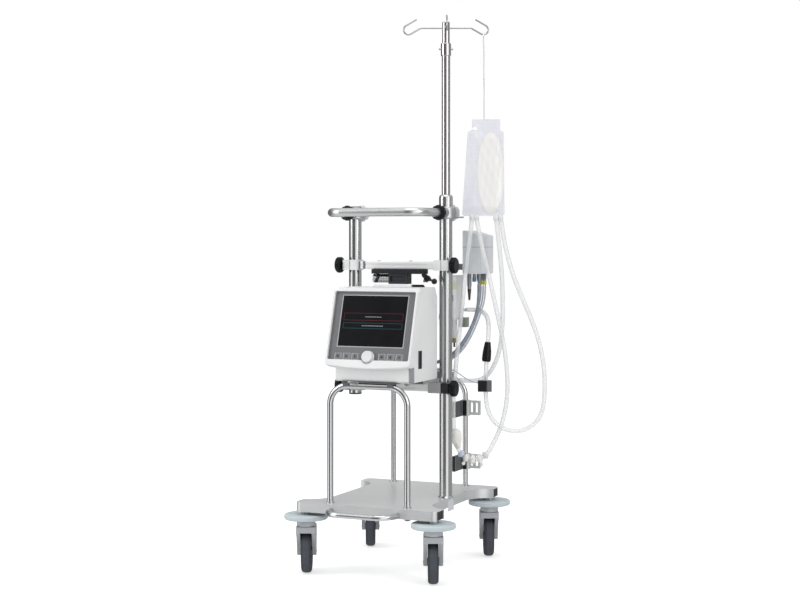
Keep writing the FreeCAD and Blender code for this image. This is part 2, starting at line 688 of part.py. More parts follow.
def clamp_knob(side, level):
    """Black star knob whose screw draws the two jaws together."""
    screw = 2 * JAW_HALF - 6
    knob = star_knob(KNOB_R, KNOB_H, KNOB_LOBES, SCREW_R, screw, KNOB_STANDOFF)
    knob.rotate(V(0, 0, 0), Y_AXIS, 90 * side)
    knob.translate(V(side * (COLUMN_X + JAW_HALF + KNOB_STANDOFF), BAR_Y, level))
    return knob


# Dock and tray

def dock():
    """Dock profile under the upper bar, latch block, latch barrel and lever post."""
    half = DOCK_W / 2
    low = DOCK_TOP - DOCK_T
    rail = rounded(box(DOCK_X - half, DOCK_X + half, DOCK_FRONT, DOCK_BACK, low, DOCK_TOP), 10)
    block_x = DOCK_BLOCK_X
    block = box(block_x - DOCK_BLOCK_W / 2, block_x + DOCK_BLOCK_W / 2, DOCK_FRONT + 3, DOCK_BACK - 6, low - DOCK_BLOCK_H, low)
    block = rounded(block, 4)
    block = block.cut(box(block_x - 24, block_x + 24, DOCK_FRONT, DOCK_FRONT + 8, low - DOCK_BLOCK_H + 7, low - 7))
    barrel_z = low - BARREL_R - 1
    start = block_x - DOCK_BLOCK_W / 2
    barrel = rod(BARREL_R, (start - BARREL, -38, barrel_z), (start, -38, barrel_z))
    barrel = barrel.makeFillet(3, [e for e in barrel.Edges if e.CenterOfMass.x < start - BARREL + 1])
    for i in range(5):
        at = start - 8 - 8 * i
        barrel = barrel.cut(pipe(BARREL_R + 1, BARREL_R - 1, (at - 1.5, -38, barrel_z), (at + 1.5, -38, barrel_z)))
    hanger = box(start - 47, start - 41, -46, -30, barrel_z + 8, low)
    slant = [(-20, 0), (-8, 0), (8, -14), (8, -21), (-6, -21), (-20, -6)]
    points = [V(LEVER_X + x, LEVER_Y + 6, low + z) for x, z in slant]
    post = Part.Face(Part.makePolygon(points + points[:1])).extrude(V(0, 8, 0))
    pin_z = low - LEVER_DROP
    post = post.cut(rod(3 + RUN_FIT, (LEVER_X, LEVER_Y, pin_z), (LEVER_X, LEVER_Y + 20, pin_z)))
    return [rail, block, barrel.fuse(hanger).removeSplitter(), post]


def dock_lever():
    """Release lever with a ball on its end, on a pin along Y."""
    z = DOCK_TOP - DOCK_T - LEVER_DROP
    hub = rod(9, (LEVER_X, LEVER_Y - 4, z), (LEVER_X, LEVER_Y + 6 - CONTACT_GAP, z))
    pin = rod(3, (LEVER_X, LEVER_Y, z), (LEVER_X, LEVER_Y + 14, z))
    tip = (LEVER_X + LEVER_ARM, LEVER_Y - 4, z - 8)
    arm = rod(3, (LEVER_X, LEVER_Y + 1, z), tip)
    ball = Part.makeSphere(LEVER_BALL_R, V(*tip))
    return hub.fuse([pin, arm, ball]).removeSplitter()


def support_tray():
    """Tray on the front hoop and the lower bar, with two turned-up sides."""
    hoop_top = FRONT_HOOP_TOP + FRONT_HOOP_R
    top = CONSOLE_BOTTOM
    half = TRAY_W / 2
    bottom = hoop_top
    tray = box(CONSOLE_X - half, CONSOLE_X + half, -HOOP_Y - 8, BAR_Y + BAR_T / 2, bottom, top)
    for side in (-1, 1):
        x = CONSOLE_X + side * (half - 20)
        tray = tray.cut(rounded(box(x - 8, x + 8, -170, -80, bottom, top), 7))
    rail_z = LOWER_BAR_Z + BAR_H / 2
    for side in (-1, 1):
        x = CONSOLE_X + side * (half - 16)
        tray = tray.fuse(box(x - 12, x + 12, BAR_Y - BAR_T / 2, BAR_Y + BAR_T / 2, rail_z, bottom))
        saddle = box(x - 9, x + 9, -HOOP_Y - 13, -HOOP_Y + 13, FRONT_HOOP_TOP, bottom)
        saddle = saddle.cut(rod(FRONT_HOOP_R, (x - 10, -HOOP_Y, FRONT_HOOP_TOP), (x + 10, -HOOP_Y, FRONT_HOOP_TOP)))
        tray = tray.fuse(saddle)
    return tray.removeSplitter()


# Console

def on_face(shape):
    """Place a shape drawn on the XY plane on the console's sloping face."""
    shape.Placement = FreeCAD.Placement(V(CONSOLE_X, LIP_Y, LIP_Z), FreeCAD.Rotation(X_AXIS, FACE_TURN)).multiply(shape.Placement)
    return shape


def face_outline(inset, bottom, low, high):
    """Front frame: straight sides and a bowed lower edge, between two depths."""
    half = CONSOLE_W / 2 - inset
    top = FACE_H - inset
    sides = [V(half, bottom + inset, low), V(half, top, low), V(-half, top, low), V(-half, bottom + inset, low)]
    edges = [Part.LineSegment(a, b).toShape() for a, b in zip(sides, sides[1:])]
    edges.append(Part.Arc(sides[-1], V(0, bottom + inset - FRAME_BULGE, low), sides[0]).toShape())
    return rounded(Part.Face(Part.Wire(edges)).extrude(V(0, 0, high - low)), 9)


def console_shell():
    """White housing: sloping front frame, recessed lower body and hollow inside."""
    frame = face_outline(0, 0, FRAME_BACK, 0)
    frame = frame.makeFillet(3, [e for e in frame.Edges if abs(e.CenterOfMass.z) < 0.01])
    half = PANEL_W / 2
    pocket = rounded(box(-half, half, PANEL_BOTTOM, PANEL_BOTTOM + PANEL_H, -PANEL_RECESS - PANEL_T, 1), 5)
    inner = half - PANEL_LEDGE
    window = box(-inner, inner, PANEL_BOTTOM + PANEL_LEDGE, PANEL_BOTTOM + PANEL_H - PANEL_LEDGE, FRAME_BACK - 1, 0)
    relief = rod(MENU_KNOB_R + KNOB_RELIEF, (0, MENU_KNOB_V, -PANEL_RECESS), (0, MENU_KNOB_V, 1))
    frame = on_face(frame)
    cut_outs = [on_face(pocket), on_face(window), on_face(relief)]
    slope = math.radians(FACE_TURN)
    back_y = LIP_Y + FRAME_T * math.sin(slope)
    top_y = back_y + FACE_H * math.cos(slope)
    lean = math.cos(slope) / math.sin(slope)

    def body(wall, width):
        """Housing behind the frame, drawn in by a wall."""
        front_low = CONSOLE_FRONT + wall
        knee = LIP_Z + 4 + wall
        behind = back_y + (knee - LIP_Z) * lean - 6 + wall
        points = [V(0, front_low, CONSOLE_BOTTOM + wall), V(0, CONSOLE_BACK - wall, CONSOLE_BOTTOM + wall),
                  V(0, CONSOLE_BACK - wall, CONSOLE_TOP - 30), V(0, CONSOLE_BACK - 17 - wall, CONSOLE_TOP - wall),
                  V(0, top_y + wall, CONSOLE_TOP - wall), V(0, behind, knee), V(0, front_low, knee)]
        solid = Part.Face(Part.makePolygon(points + points[:1])).extrude(V(width, 0, 0))
        left = CONSOLE_X - width / 2
        solid.translate(V(left, 0, 0))
        return solid.cut(box(left - 1, left + LOW_INSET, CONSOLE_FRONT - 1, 0, CONSOLE_BOTTOM - 1, LIP_Z + wall))

    width = CONSOLE_W - 2 * BODY_INSET
    outer = body(0, width)
    corners = [e for e in outer.Edges if abs(e.tangentAt(e.FirstParameter).dot(X_AXIS)) > 0.999
               and (e.CenterOfMass.z < CONSOLE_BOTTOM + 1 or e.CenterOfMass.y > CONSOLE_BACK - 20)]
    outer = outer.makeFillet(8, corners)
    cavity = body(SHELL_WALL, width - 2 * SHELL_WALL)
    shell = outer.fuse(frame).cut(cut_outs + [cavity]).removeSplitter()
    right = CONSOLE_X + width / 2
    for y0, y1, z0, z1 in ((-170, -145, 606, 656), (-84, -38, 783, 814)):
        dent = box(right - 2.5, right + 1, y0, y1, z0, z1)
        shell = shell.cut(rounded(dent, 5, X_AXIS))
    for i in range(9):
        slit = box(CONSOLE_X - 60 + 14 * i, CONSOLE_X - 52 + 14 * i, CONSOLE_BACK - SHELL_WALL - 1, CONSOLE_BACK + 1, 700, 770)
        shell = shell.cut(slit)
    rail = rounded(box(CONSOLE_X - 60, CONSOLE_X + 62, -66, -52, CONSOLE_TOP - 3, CONSOLE_TOP + 6), 3, X_AXIS)
    return shell.fuse(rail).removeSplitter()


def key_places():
    """Middle of each of the six keys on the face."""
    steps = [KEY_FIRST + KEY_PITCH * i for i in range(3)]
    return [(-s, KEY_V) for s in reversed(steps)] + [(s, KEY_V) for s in steps]


def key_panel():
    """Grey panel in the frame's pocket, cut for the screen, keys and knob."""
    half = PANEL_W / 2 - 0.1
    face = -PANEL_RECESS
    panel = rounded(box(-half, half, PANEL_BOTTOM + 0.1, PANEL_BOTTOM + PANEL_H - 0.1, face - PANEL_T, face), 5)
    w, h = SCREEN_W / 2, SCREEN_H
    panel = panel.cut(box(-w, w, SCREEN_BOTTOM, SCREEN_BOTTOM + h, face - GLASS_T, face + 1))
    w, step = w - SCREEN_STEP, SCREEN_STEP
    panel = panel.cut(box(-w, w, SCREEN_BOTTOM + step, SCREEN_BOTTOM + h - step, face - PANEL_T - 1, face))
    for u, v in key_places():
        half_key = KEY_SIZE / 2 + CONTACT_GAP
        hole = box(u - half_key, u + half_key, v - half_key, v + half_key, face - PANEL_T - 1, face + 1)
        panel = panel.cut(rounded(hole, 2.5))
    panel = panel.cut(rod(MENU_SHAFT_R + RUN_FIT, (0, MENU_KNOB_V, face - PANEL_T - 1), (0, MENU_KNOB_V, face + 1)))
    return on_face(panel)


def screen_glass():
    w, face = SCREEN_W / 2 - 0.2, -PANEL_RECESS
    glass = box(-w, w, SCREEN_BOTTOM + 0.2, SCREEN_BOTTOM + SCREEN_H - 0.2, face - GLASS_T, face - 0.2)
    return on_face(glass)


def key(u, v):
    """Square push button that stands a little above the panel."""
    half = KEY_SIZE / 2
    top = -PANEL_RECESS + KEY_PROUD
    cap = rounded(box(u - half, u + half, v - half, v + half, top - KEY_T, top), 2.2)
    cap = cap.makeChamfer(0.8, [e for e in cap.Edges if abs(e.CenterOfMass.z - top) < 0.01])
    return on_face(cap)


def menu_knob():
    """Rotary knob with a finger groove round its skirt."""
    base = CONTACT_GAP
    knob = revolved([(0, base), (MENU_KNOB_R, base), (MENU_KNOB_R, 3), (MENU_KNOB_R - 1.6, 4.5), (MENU_KNOB_R - 1.8, MENU_KNOB_H - 2),
                     (MENU_KNOB_R - 3.6, MENU_KNOB_H), (0, MENU_KNOB_H - 0.8)])
    knob = knob.fuse(rod(MENU_SHAFT_R, (0, 0, -PANEL_T), (0, 0, base + 1))).removeSplitter()
    knob.translate(V(0, MENU_KNOB_V, -PANEL_RECESS))
    return on_face(knob)


def console_electronics():
    """Display module and key board behind the panel, power pack and battery on the floor."""
    back = -PANEL_RECESS - PANEL_T
    w = SCREEN_W / 2 + 3
    display = box(-w, w, SCREEN_BOTTOM - 6, SCREEN_BOTTOM + SCREEN_H + 3, back - DISPLAY_T, back)
    board = box(-115, 115, PANEL_BOTTOM + PANEL_LEDGE + 1, PANEL_BOTTOM + PANEL_LEDGE + 14, back - 6, back)
    floor = CONSOLE_BOTTOM + SHELL_WALL
    power = box(CONSOLE_X - 98, CONSOLE_X - 8, -190, -60, floor, floor + 40)
    battery = rounded(box(CONSOLE_X + 10, CONSOLE_X + 110, -180, -50, floor, floor + 55), 4)
    return [on_face(display), on_face(board), power, battery]


# Sensor box, lung, pump and what carries them

def sensor_box():
    """Box whose lid slopes to the right, with the plugs under it."""
    outline = [V(BOX_X0, BOX_Y0, BOX_BOTTOM), V(BOX_X1, BOX_Y0, BOX_BOTTOM), V(BOX_X1, BOX_Y0, BOX_LOW), V(BOX_X0, BOX_Y0, BOX_HIGH)]
    case = Part.Face(Part.makePolygon(outline + outline[:1])).extrude(V(0, BOX_Y1 - BOX_Y0, 0))
    case = rounded(case, 4, Y_AXIS)
    solids = [case]
    for x, y, radius, length in plugs():
        body = revolved([(0, 0), (radius, 0), (radius, -length * 0.45), (radius * 0.86, -length * 0.5),
                         (radius * 0.86, -length * 0.6), (radius * 0.45, -length), (0, -length)])
        solids.append(body.translated(V(x, y, BOX_BOTTOM)))
    return solids


def plugs():
    """Plugs under the box: x, y, radius and length."""
    starts = [probe_route(i)[0] for i in PROBES]
    probes = [(x, y, 3.4, 36) for x, y, _ in starts]
    return [(194, 70, 6.5, 78), (209, 72, 5.5, 24), (216, 92, 7.0, 30)] + probes


def column_arm(level, y1):
    """Saddle behind the right column with a bar that runs back to y1."""
    half = SADDLE_H / 2
    saddle = rounded(box(SADDLE_X0, COLUMN_X + 6, JAW_BACK + 1, COLUMN_R + 8, level - half, level + half), 3)
    return saddle.fuse(arm_bar(level, ARM_X0, ARM_X1, COLUMN_R + 4, y1))


def arm_bar(level, x0, x1, y0, y1):
    return box(x0, x1, y0, y1, level - ARM_W / 2, level + ARM_W / 2)


def module_arms():
    """Saddles on the column, each with an arm to the sensor box, the lung or the pump."""
    box_y = BOX_Y0 + 50
    lung_face = LUNG_Y - LUNG_D / 2 + LUNG_INSET
    pump_level = PUMP_Z + 18
    pump_x = PUMP_X + PUMP_H - 30
    rail_back = PUMP_Y - HEAD_R - 2
    to_box = column_arm(BOX_ARM_Z, box_y + ARM_W).fuse(arm_bar(BOX_ARM_Z, ARM_X0, BOX_X0, box_y, box_y + ARM_W))
    to_lung = column_arm(LUNG_ARM_Z, lung_face)
    rail = arm_bar(pump_level, pump_x, ARM_X1, rail_back - ARM_W, rail_back)
    pad = arm_bar(pump_level, pump_x, pump_x + ARM_W, rail_back - ARM_W, PUMP_Y)
    to_pump = column_arm(pump_level, rail_back).fuse([rail, pad])
    column = rod(COLUMN_R, (COLUMN_X, 0, 0), (COLUMN_X, 0, COLUMN_TOP))
    return [arm.removeSplitter().cut([column, pump_blank()]) for arm in (to_box, to_lung, to_pump)]


def membrane_lung():
    """Fibre block between two potted end caps, its ports, and the link hose from the pump."""
    x0, x1 = LUNG_X - LUNG_W / 2, LUNG_X + LUNG_W / 2
    y0, y1 = LUNG_Y - LUNG_D / 2, LUNG_Y + LUNG_D / 2
    inset = LUNG_INSET
    core = rounded(box(x0 + inset, x1 - inset, y0 + inset, y1 - inset, LUNG_BOTTOM, LUNG_BOTTOM + LUNG_H), 6)
    low, high = LUNG_BOTTOM - LUNG_CAP, LUNG_BOTTOM + LUNG_H + LUNG_CAP
    port_x, port_y, port_z = pump_port()
    bottom = rounded(box(x0, x1, y0, y1, low, LUNG_BOTTOM), 7)
    bottom = bottom.fuse(rod(PORT_R, (port_x, port_y, low - 12), (port_x, port_y, low + 3)))
    top = rounded(box(x0, x1, y0, y1, high - LUNG_CAP, high), 7)
    top = top.fuse(rod(PORT_R, (LUNG_X, LUNG_Y, high - 3), (LUNG_X, LUNG_Y, high + 12)))
    z = LUNG_BOTTOM + 12
    outlet = rod(PORT_R, (x1 - inset, OUTLET_Y, z), (x1 + 16, OUTLET_Y, z))
    outlet = outlet.fuse(rod(PORT_R + 3, (x1 - inset, OUTLET_Y, z), (x1 + 2, OUTLET_Y, z)))
    link = pipe(HOSE_R, PORT_R, (port_x, port_y, port_z - 12), (port_x, port_y, low))
    drain = revolved([(0, 0), (3, 0), (3, 12), (6, 14), (6, 26), (9, 28), (9, LUNG_DRAIN), (0, LUNG_DRAIN)])
    drain.translate(V(LUNG_X + 10, LUNG_Y, low - LUNG_DRAIN))
    block = rounded(box(x1, x1 + 26, LUNG_Y - 12, LUNG_Y + 14, low - 23, low + 6), 3)
    return [core, bottom.removeSplitter(), top.removeSplitter(), outlet.removeSplitter(), link, drain, block]


def pump_port():
    """Tip of the pump head's outlet."""
    return (PUMP_X + PUMP_H + HEAD_MID, PUMP_Y - HEAD_R + 9, PUMP_Z + HEAD_R + 14)


def on_pump(shape, along):
    """Turn a shape drawn about Z onto the pump's axis, some way from its closed end."""
    shape.rotate(V(0, 0, 0), Y_AXIS, 90)
    shape.translate(V(PUMP_X + along, PUMP_Y, PUMP_Z))
    return shape


def pump_blank():
    return on_pump(rod(PUMP_R, (0, 0, 0), (0, 0, PUMP_H)), 0)


def pump_drive():
    """Motor housing with cooling ribs and a flat end that takes the pump head."""
    body = revolved([(0, 0), (PUMP_R - 6, 0), (PUMP_R, 6), (PUMP_R, PUMP_H - 10), (PUMP_R - 3, PUMP_H), (0, PUMP_H)])
    for i in range(5):
        z = 12 + 9 * i
        body = body.cut(pipe(PUMP_R + 1, PUMP_R - 3, (0, 0, z), (0, 0, z + 4)))
    return on_pump(body, 0)


def pump_head():
    """Clear pump housing: volute with an inlet in its face and an outlet at its side."""
    off = -(HEAD_R - 9)
    outer = revolved([(0, 0), (HEAD_R, 0), (HEAD_R, 14), (14, HEAD_H), (0, HEAD_H)])
    spout = rod(PORT_R + 2, (0, 0, HEAD_H - 2), (0, 0, HEAD_H + 18))
    outlet = rod(PORT_R, (0, off, HEAD_MID), (-HEAD_R - 14, off, HEAD_MID))
    wall = HEAD_WALL
    inner = revolved([(0, wall), (HEAD_R - wall, wall), (HEAD_R - wall, 13), (12, HEAD_H - wall), (0, HEAD_H - wall)])
    bore = rod(PORT_R, (0, 0, HEAD_H - wall - 1), (0, 0, HEAD_H + 20))
    head = outer.fuse([spout, outlet]).cut([inner, bore])
    post = rod(2, (0, 0, wall - 1), (0, 0, 9))
    return on_pump(head.fuse(post).removeSplitter(), PUMP_H)


def pump_impeller():
    """Bladed disc that turns on the post in the pump head."""
    disc = revolved([(0, 0), (24, 0), (24, 3), (6, 7), (0, 7)])
    for i in range(6):
        blade = box(5, 23, -1, 1, 0, 8)
        disc = disc.fuse(blade.rotated(V(0, 0, 0), Z_AXIS, 60 * i))
    disc = disc.cut(rod(2 + RUN_FIT, (0, 0, -1), (0, 0, 9))).removeSplitter()
    return on_pump(disc, PUMP_H + HEAD_WALL + CONTACT_GAP)


def holder_brackets():
    """Two clamps on the right leg of the rear hoop, each with a ribbed and a slotted wing."""
    solids = []
    x, y = REAR_HOOP_X, HOOP_Y
    for level in HOLDER_Z:
        z0, z1 = level - HOLDER_H / 2, level + HOLDER_H / 2
        grip = rounded(box(x - 14, x + 14, y - 14, y + 14, z0, z1), 4)
        front_wing = box(x - 11, x - 3, y - HOLDER_WING_Y, y - 10, z0, z1)
        for i in range(5):
            rib = box(x - 14, x - 11, y - HOLDER_WING_Y + 4 + 13 * i, y - HOLDER_WING_Y + 9 + 13 * i, z0 + 2, z1 - 2)
            front_wing = front_wing.fuse(rib)
        side_wing = box(x + 10, x + HOLDER_WING_X, y - 6, y + 2, z0 + 3, z1)
        for at in (x + 18, x + 34):
            side_wing = side_wing.cut(rounded(box(at, at + 9, y - 7, y + 3, z0 + 10, z1 - 6), 3, Y_AXIS))
        body = grip.fuse([front_wing, side_wing]).removeSplitter()
        solids.append(body.cut(rod(REAR_HOOP_R, (x, y, z0 - 1), (x, y, z1 + 1))))
    return solids


# Soft goods. Distances along the hanging plane, depth behind it, and height.

def hung(along, depth, z):
    """Point given on the plane in which the hoses hang, through the main column."""
    turn = math.radians(VIEW_TURN)
    x = COLUMN_X + along * math.cos(turn) - depth * math.sin(turn)
    y = along * math.sin(turn) + depth * math.cos(turn)
    return (round(x, 1), round(y, 1), z)


def cord_bends(points):
    """Corner, its two directions, reach of the arc along the runs, and bend radius."""
    knots = [V(*p) for p in points]
    bends = []
    for before, corner, after in zip(knots, knots[1:], knots[2:]):
        arrive, leave = corner - before, after - corner
        half = arrive.getAngle(leave) / 2
        reach = 0.45 * min(arrive.Length, leave.Length)
        bends.append((corner, arrive.normalize(), leave.normalize(), reach, reach / math.tan(half), half))
    return bends


def cord_wire(points):
    """Straight runs with a tangent arc at every corner."""
    edges, here = [], V(*points[0])
    for corner, arrive, leave, reach, bend, half in cord_bends(points):
        start = corner - arrive * reach
        end = corner + leave * reach
        inwards = (leave - arrive).normalize()
        middle = corner + inwards * (bend / math.cos(half) - bend)
        edges.append(Part.LineSegment(here, start).toShape())
        edges.append(Part.Arc(start, middle, end).toShape())
        here = end
    edges.append(Part.LineSegment(here, V(*points[-1])).toShape())
    return Part.Wire(edges)


def cord(node, points, radius):
    """One cord, with its tightest bend and its length printed."""
    wire = cord_wire(points)
    tube = swept(wire, radius)
    tightest = min(bend for _, _, _, _, bend, _ in cord_bends(points))
    share = tube.Volume / (math.pi * radius ** 2 * wire.Length)
    print(node, "tightest bend", round(tightest, 1), "length", round(wire.Length, 1), "volume share", round(share, 4))
    return tube


STRAP = [hung(110, 0, 1565.5), hung(111.6, 1, 1518), hung(110.4, 0, 1468), hung(112.4, 1, 1418), hung(111.2, 0, 1372),
         hung(112, 0, POUCH_HEADER_TOP + 0.4)]

BRIDGE_HOSE = [hung(77, 0, 1042.7), hung(72, 1, 985), hung(62, 4, 915), hung(54, 8, 840), hung(46.5, 14, 760),
               hung(38.5, 20, 680), hung(31, 24, 610), hung(26, 26, 545), hung(22, 27, 485), hung(23.5, 27, 430),
               hung(27.5, 27, 398), hung(33.3, 26.5, 368.7), hung(39.4, 26, 349.3), hung(52.6, 25, 333.8), hung(70.8, 24, 324.7),
               hung(91.1, 22, 323.5), hung(110.3, 20, 330.3), hung(125.3, 18.5, 344), hung(135, 18, 361), hung(150, 17, 391),
               hung(166, 15, 429), hung(178, 13, 480), hung(183, 8, 535), hung(180, 3, 592), hung(172, -2, 660),
               hung(157, -5, 730), hung(138, -6, 815), hung(121, -5, 895), hung(102, -3, 968), hung(89, 0, 1042.6)]

DRAIN_HOSE = [hung(147, 0, 1043.4), hung(155.5, 6, 970), hung(164.5, 13, 890), hung(168.5, 20, 810), hung(169, 26, 735),
              hung(165, 33, 672), (275, 99.5, 633), (263.5, 103, 607), (249.5, 105, 583.5), (232.5, 105.5, 565),
              (212, 105.3, 555), (189, 105.1, 551.5), (165, 104.8, 552.2), (141.2, 105, 553)]

RETURN_HOSE = [(167.6, 118, 764), (194, 120, 765), (220, 116, 760), (242, 98, 743), (254.5, 74, 714), hung(124, 3, 677),
               hung(120.5, 1, 636), hung(118.5, 0, 598), hung(117.5, 0, 558), hung(117.5, 0.5, 512), hung(123, 0, 470),
               hung(145, 0, 433), hung(183, 0, 411), hung(227, 0, 411), hung(264, 0, 432), hung(286, 0, 470), hung(292, 0, 530),
               hung(290, 0, 595), hung(277, 0, 668), hung(253, 0, 738), hung(225, 2, 802), hung(197.5, 4, 870), hung(178, 5, 940),
               hung(168, 3, 990), hung(160.5, 0, 1043.6)]

MAIN_CABLE = [(216, 92, 842.3), (217, 91, 800), (211, 84, 748), (192, 72, 696), (165, 60, 652), (136, 46, 622), (108, 24, 610),
              (92, -2, 607), (87, -28, 606)]

PROBE_CABLE = [(221, 114, 836.3), (222, 113, 800), (212, 100, 756), (196, 86, 702), (173, 72, 654), (142, 60, 620),
               (108, 43, 609), (78, 23, 610), (54, 0, 612), (46, -28, 612)]
PROBE_STEP = (8.0, -3.0)   # from one of the three to the next
PROBES = (-1, 0, 1)


def probe_route(i):
    """Way of one of the three probe cables; all end at the same depth in the console's back."""
    step_x, step_y = PROBE_STEP
    points = [(x + i * step_x, y + i * step_y, z) for x, y, z in PROBE_CABLE[:-1]]
    x, y, z = PROBE_CABLE[-1]
    return points + [(x + i * step_x, y, z)]


FLOW_CABLE = [(233.4, 37.7, 553), (219, 31.8, 556), (203, 37, 561), (186, 44, 568), (167, 47.5, 580), (146, 44.5, 590),
              (124, 31, 592), (108, 10, 589), (102, -8, 587), (101, -28.6, 587)]


def pouch():
    """Flat bag with a header and the ring that hangs on the hook."""
    half = POUCH_T / 2
    outline = [(47, POUCH_BOTTOM), (172.5, POUCH_BOTTOM + 1), (169.5, POUCH_TOP), (64, POUCH_TOP)]
    points = [V(a, -half, z) for a, z in outline]
    bag = Part.Face(Part.makePolygon(points + points[:1])).extrude(V(0, POUCH_T, 0))
    bag = bag.makeFillet(5, [e for e in bag.Edges if abs(e.tangentAt(e.FirstParameter).dot(Y_AXIS)) < 0.5])
    header = rounded(box(76, 159, -2, 2, POUCH_TOP - 8, POUCH_HEADER_TOP), 4, Y_AXIS)
    header = header.cut(rounded(box(86, 102, -3, 3, POUCH_HEADER_TOP - 16, POUCH_HEADER_TOP - 6), 4, Y_AXIS))
    bag = bag.fuse(header).removeSplitter()
    ring = Part.makeTorus(6.5, 1.5, V(110, 0, 1573.9), X_AXIS)
    solids = [bag, ring]
    for piece in solids:
        piece.rotate(V(0, 0, 0), Z_AXIS, VIEW_TURN)
        piece.translate(V(COLUMN_X, 0, 0))
    return solids


def line_fittings():
    """Pinch clamp and connectors on the bridge hose."""
    hose = swept(cord_wire(BRIDGE_HOSE), HOSE_R)
    clamp = rounded(box(-14, 18, -9, 9, -29, 29), 5).rotated(V(0, 0, 0), Z_AXIS, VIEW_TURN)
    solids = [lay_along(clamp, BRIDGE_HOSE[11], BRIDGE_HOSE[10], 0.6).cut(hose)]
    for knot, radius, length in ((12, 8.5, 14), (13, 10.0, 13), (14, 11.0, 13), (15, 10.0, 14), (16, 9.0, 14)):
        sleeve = Part.makeCylinder(radius, length, V(0, 0, -length / 2))
        collar = Part.makeCylinder(radius + 2, 5, V(0, 0, -2.5))
        sleeve = sleeve.fuse(collar).removeSplitter()
        solids.append(lay_along(sleeve, BRIDGE_HOSE[knot], BRIDGE_HOSE[knot + 1], 0.5).cut(hose))
    return solids


def lay_along(shape, start, end, share):
    """Turn a shape drawn about Z onto the run between two points."""
    a, b = V(*start), V(*end)
    turn = FreeCAD.Rotation(Z_AXIS, b - a)
    shape.Placement = FreeCAD.Placement(a + (b - a) * share, turn).multiply(shape.Placement)
    return shape


SENSOR_AT = hung(117.5, 0, 544)


def place_sensor(shape):
    shape.rotate(V(0, 0, 0), Z_AXIS, VIEW_TURN)
    shape.translate(V(*SENSOR_AT))
    return shape


def half_sensor(near, far, low, high, gap):
    """One half of the clip-on sensor round the return hose, with its hinge knuckle."""
    half_y, half_z = SENSOR_W / 2, SENSOR_H / 2
    body = rounded(box(near, far, -half_y, half_y, -half_z, half_z), 3)
    seam = SENSOR_SEAM
    web = box(seam, seam + 3, half_y - 3, SENSOR_HINGE_Y, low, high) if near >= seam else box(
        seam - 3, seam, half_y - 3, SENSOR_HINGE_Y, low, high)
    knuckle = rod(3.4, (seam, SENSOR_HINGE_Y, low), (seam, SENSOR_HINGE_Y, high))
    body = place_sensor(body.fuse([web, knuckle]))
    return body.cut(swept(cord_wire(RETURN_HOSE), HOSE_R + gap)).removeSplitter()


def flow_sensor():
    """Fixed half of the clip-on flow sensor, and the black sleeve higher on the hose."""
    half_z = SENSOR_H / 2
    body = half_sensor(SENSOR_SEAM - 24, SENSOR_SEAM, 5 + CONTACT_GAP, half_z, 0)
    pin = rod(HINGE_PIN_R + RUN_FIT, (SENSOR_SEAM, SENSOR_HINGE_Y, 0), (SENSOR_SEAM, SENSOR_HINGE_Y, half_z + 1))
    sleeve = revolved([(0, 0), (11.5, 0), (13.5, 8), (12.5, 30), (8.5, 58), (0, 58)])
    sleeve = lay_along(sleeve, RETURN_HOSE[6], RETURN_HOSE[5], -0.5)
    return [body.cut(place_sensor(pin)), sleeve.cut(swept(cord_wire(RETURN_HOSE), HOSE_R))]


def sensor_lid():
    """Hinged half of the flow sensor, with its hinge pin."""
    half_z = SENSOR_H / 2
    lid = half_sensor(SENSOR_SEAM + CONTACT_GAP, SENSOR_SEAM + 16, -half_z, 5, CONTACT_GAP)
    pin = rod(HINGE_PIN_R, (SENSOR_SEAM, SENSOR_HINGE_Y, 0), (SENSOR_SEAM, SENSOR_HINGE_Y, half_z + 10))
    return lid.fuse(place_sensor(pin)).removeSplitter()


save("base_plate", base_plate())
save("base_beams", *base_beams())
save("pull_hoop", pull_hoop())
save("caster_mounts", *caster_mounts())
for name, sx, sy in (("fl", -1, -1), ("fr", 1, -1), ("rl", -1, 1), ("rr", 1, 1)):
    fork = caster_fork()
    wheel = caster_wheel()
    for piece in wheel:
        piece.translate(V(0, TRAIL, WHEEL_R))
    for piece in fork + wheel:
        piece.rotate(V(0, 0, 0), Z_AXIS, TRAIL_TURN)
        piece.translate(V(sx * CASTER_X, sy * CASTER_Y, 0))
    save("caster_fork_" + name, *fork)
    save("caster_wheel_" + name, *wheel)
save("front_hoop", *hoop(FRONT_HOOP_X, -HOOP_Y, FRONT_HOOP_TOP, FRONT_HOOP_R))
save("rear_hoop", *hoop(REAR_HOOP_X, HOOP_Y, REAR_HOOP_TOP, REAR_HOOP_R))
save("main_column", *main_column())
save("side_column", *side_column())
save("pole_tube", *pole_tube())
save("hook_pole", *hook_pole())
save("handle_bar", handle_bar())
save("handle_clamps", *handle_clamps())
save("handle_knob_left", handle_knob(-COLUMN_X))
save("handle_knob_right", handle_knob(COLUMN_X))
save("cross_bars", cross_bar(UPPER_BAR_Z), cross_bar(LOWER_BAR_Z))
jaws = [jaw for level in (UPPER_BAR_Z, LOWER_BAR_Z) for side in (-1, 1) for jaw in jaw_pair(side, level)]
save("bar_jaws", *jaws)
for name, side, level in (("ul", -1, UPPER_BAR_Z), ("ur", 1, UPPER_BAR_Z), ("ll", -1, LOWER_BAR_Z), ("lr", 1, LOWER_BAR_Z)):
    save("clamp_knob_" + name, clamp_knob(side, level))
save("dock", *dock())
save("dock_lever", dock_lever())
save("support_tray", support_tray())
save("console_shell", console_shell())
save("key_panel", key_panel())
save("screen_glass", screen_glass())
save("menu_knob", menu_knob())
for number, (u, v) in enumerate(key_places(), 1):
    save("key_" + str(number), key(u, v))
save("console_electronics", *console_electronics())
save("sensor_box", *sensor_box())
save("module_arms", *module_arms())
save("membrane_lung", *membrane_lung())
save("pump_drive", pump_drive())
save("pump_head", pump_head())
save("pump_impeller", pump_impeller())
save("holder_brackets", *holder_brackets())
save("pouch", *pouch())
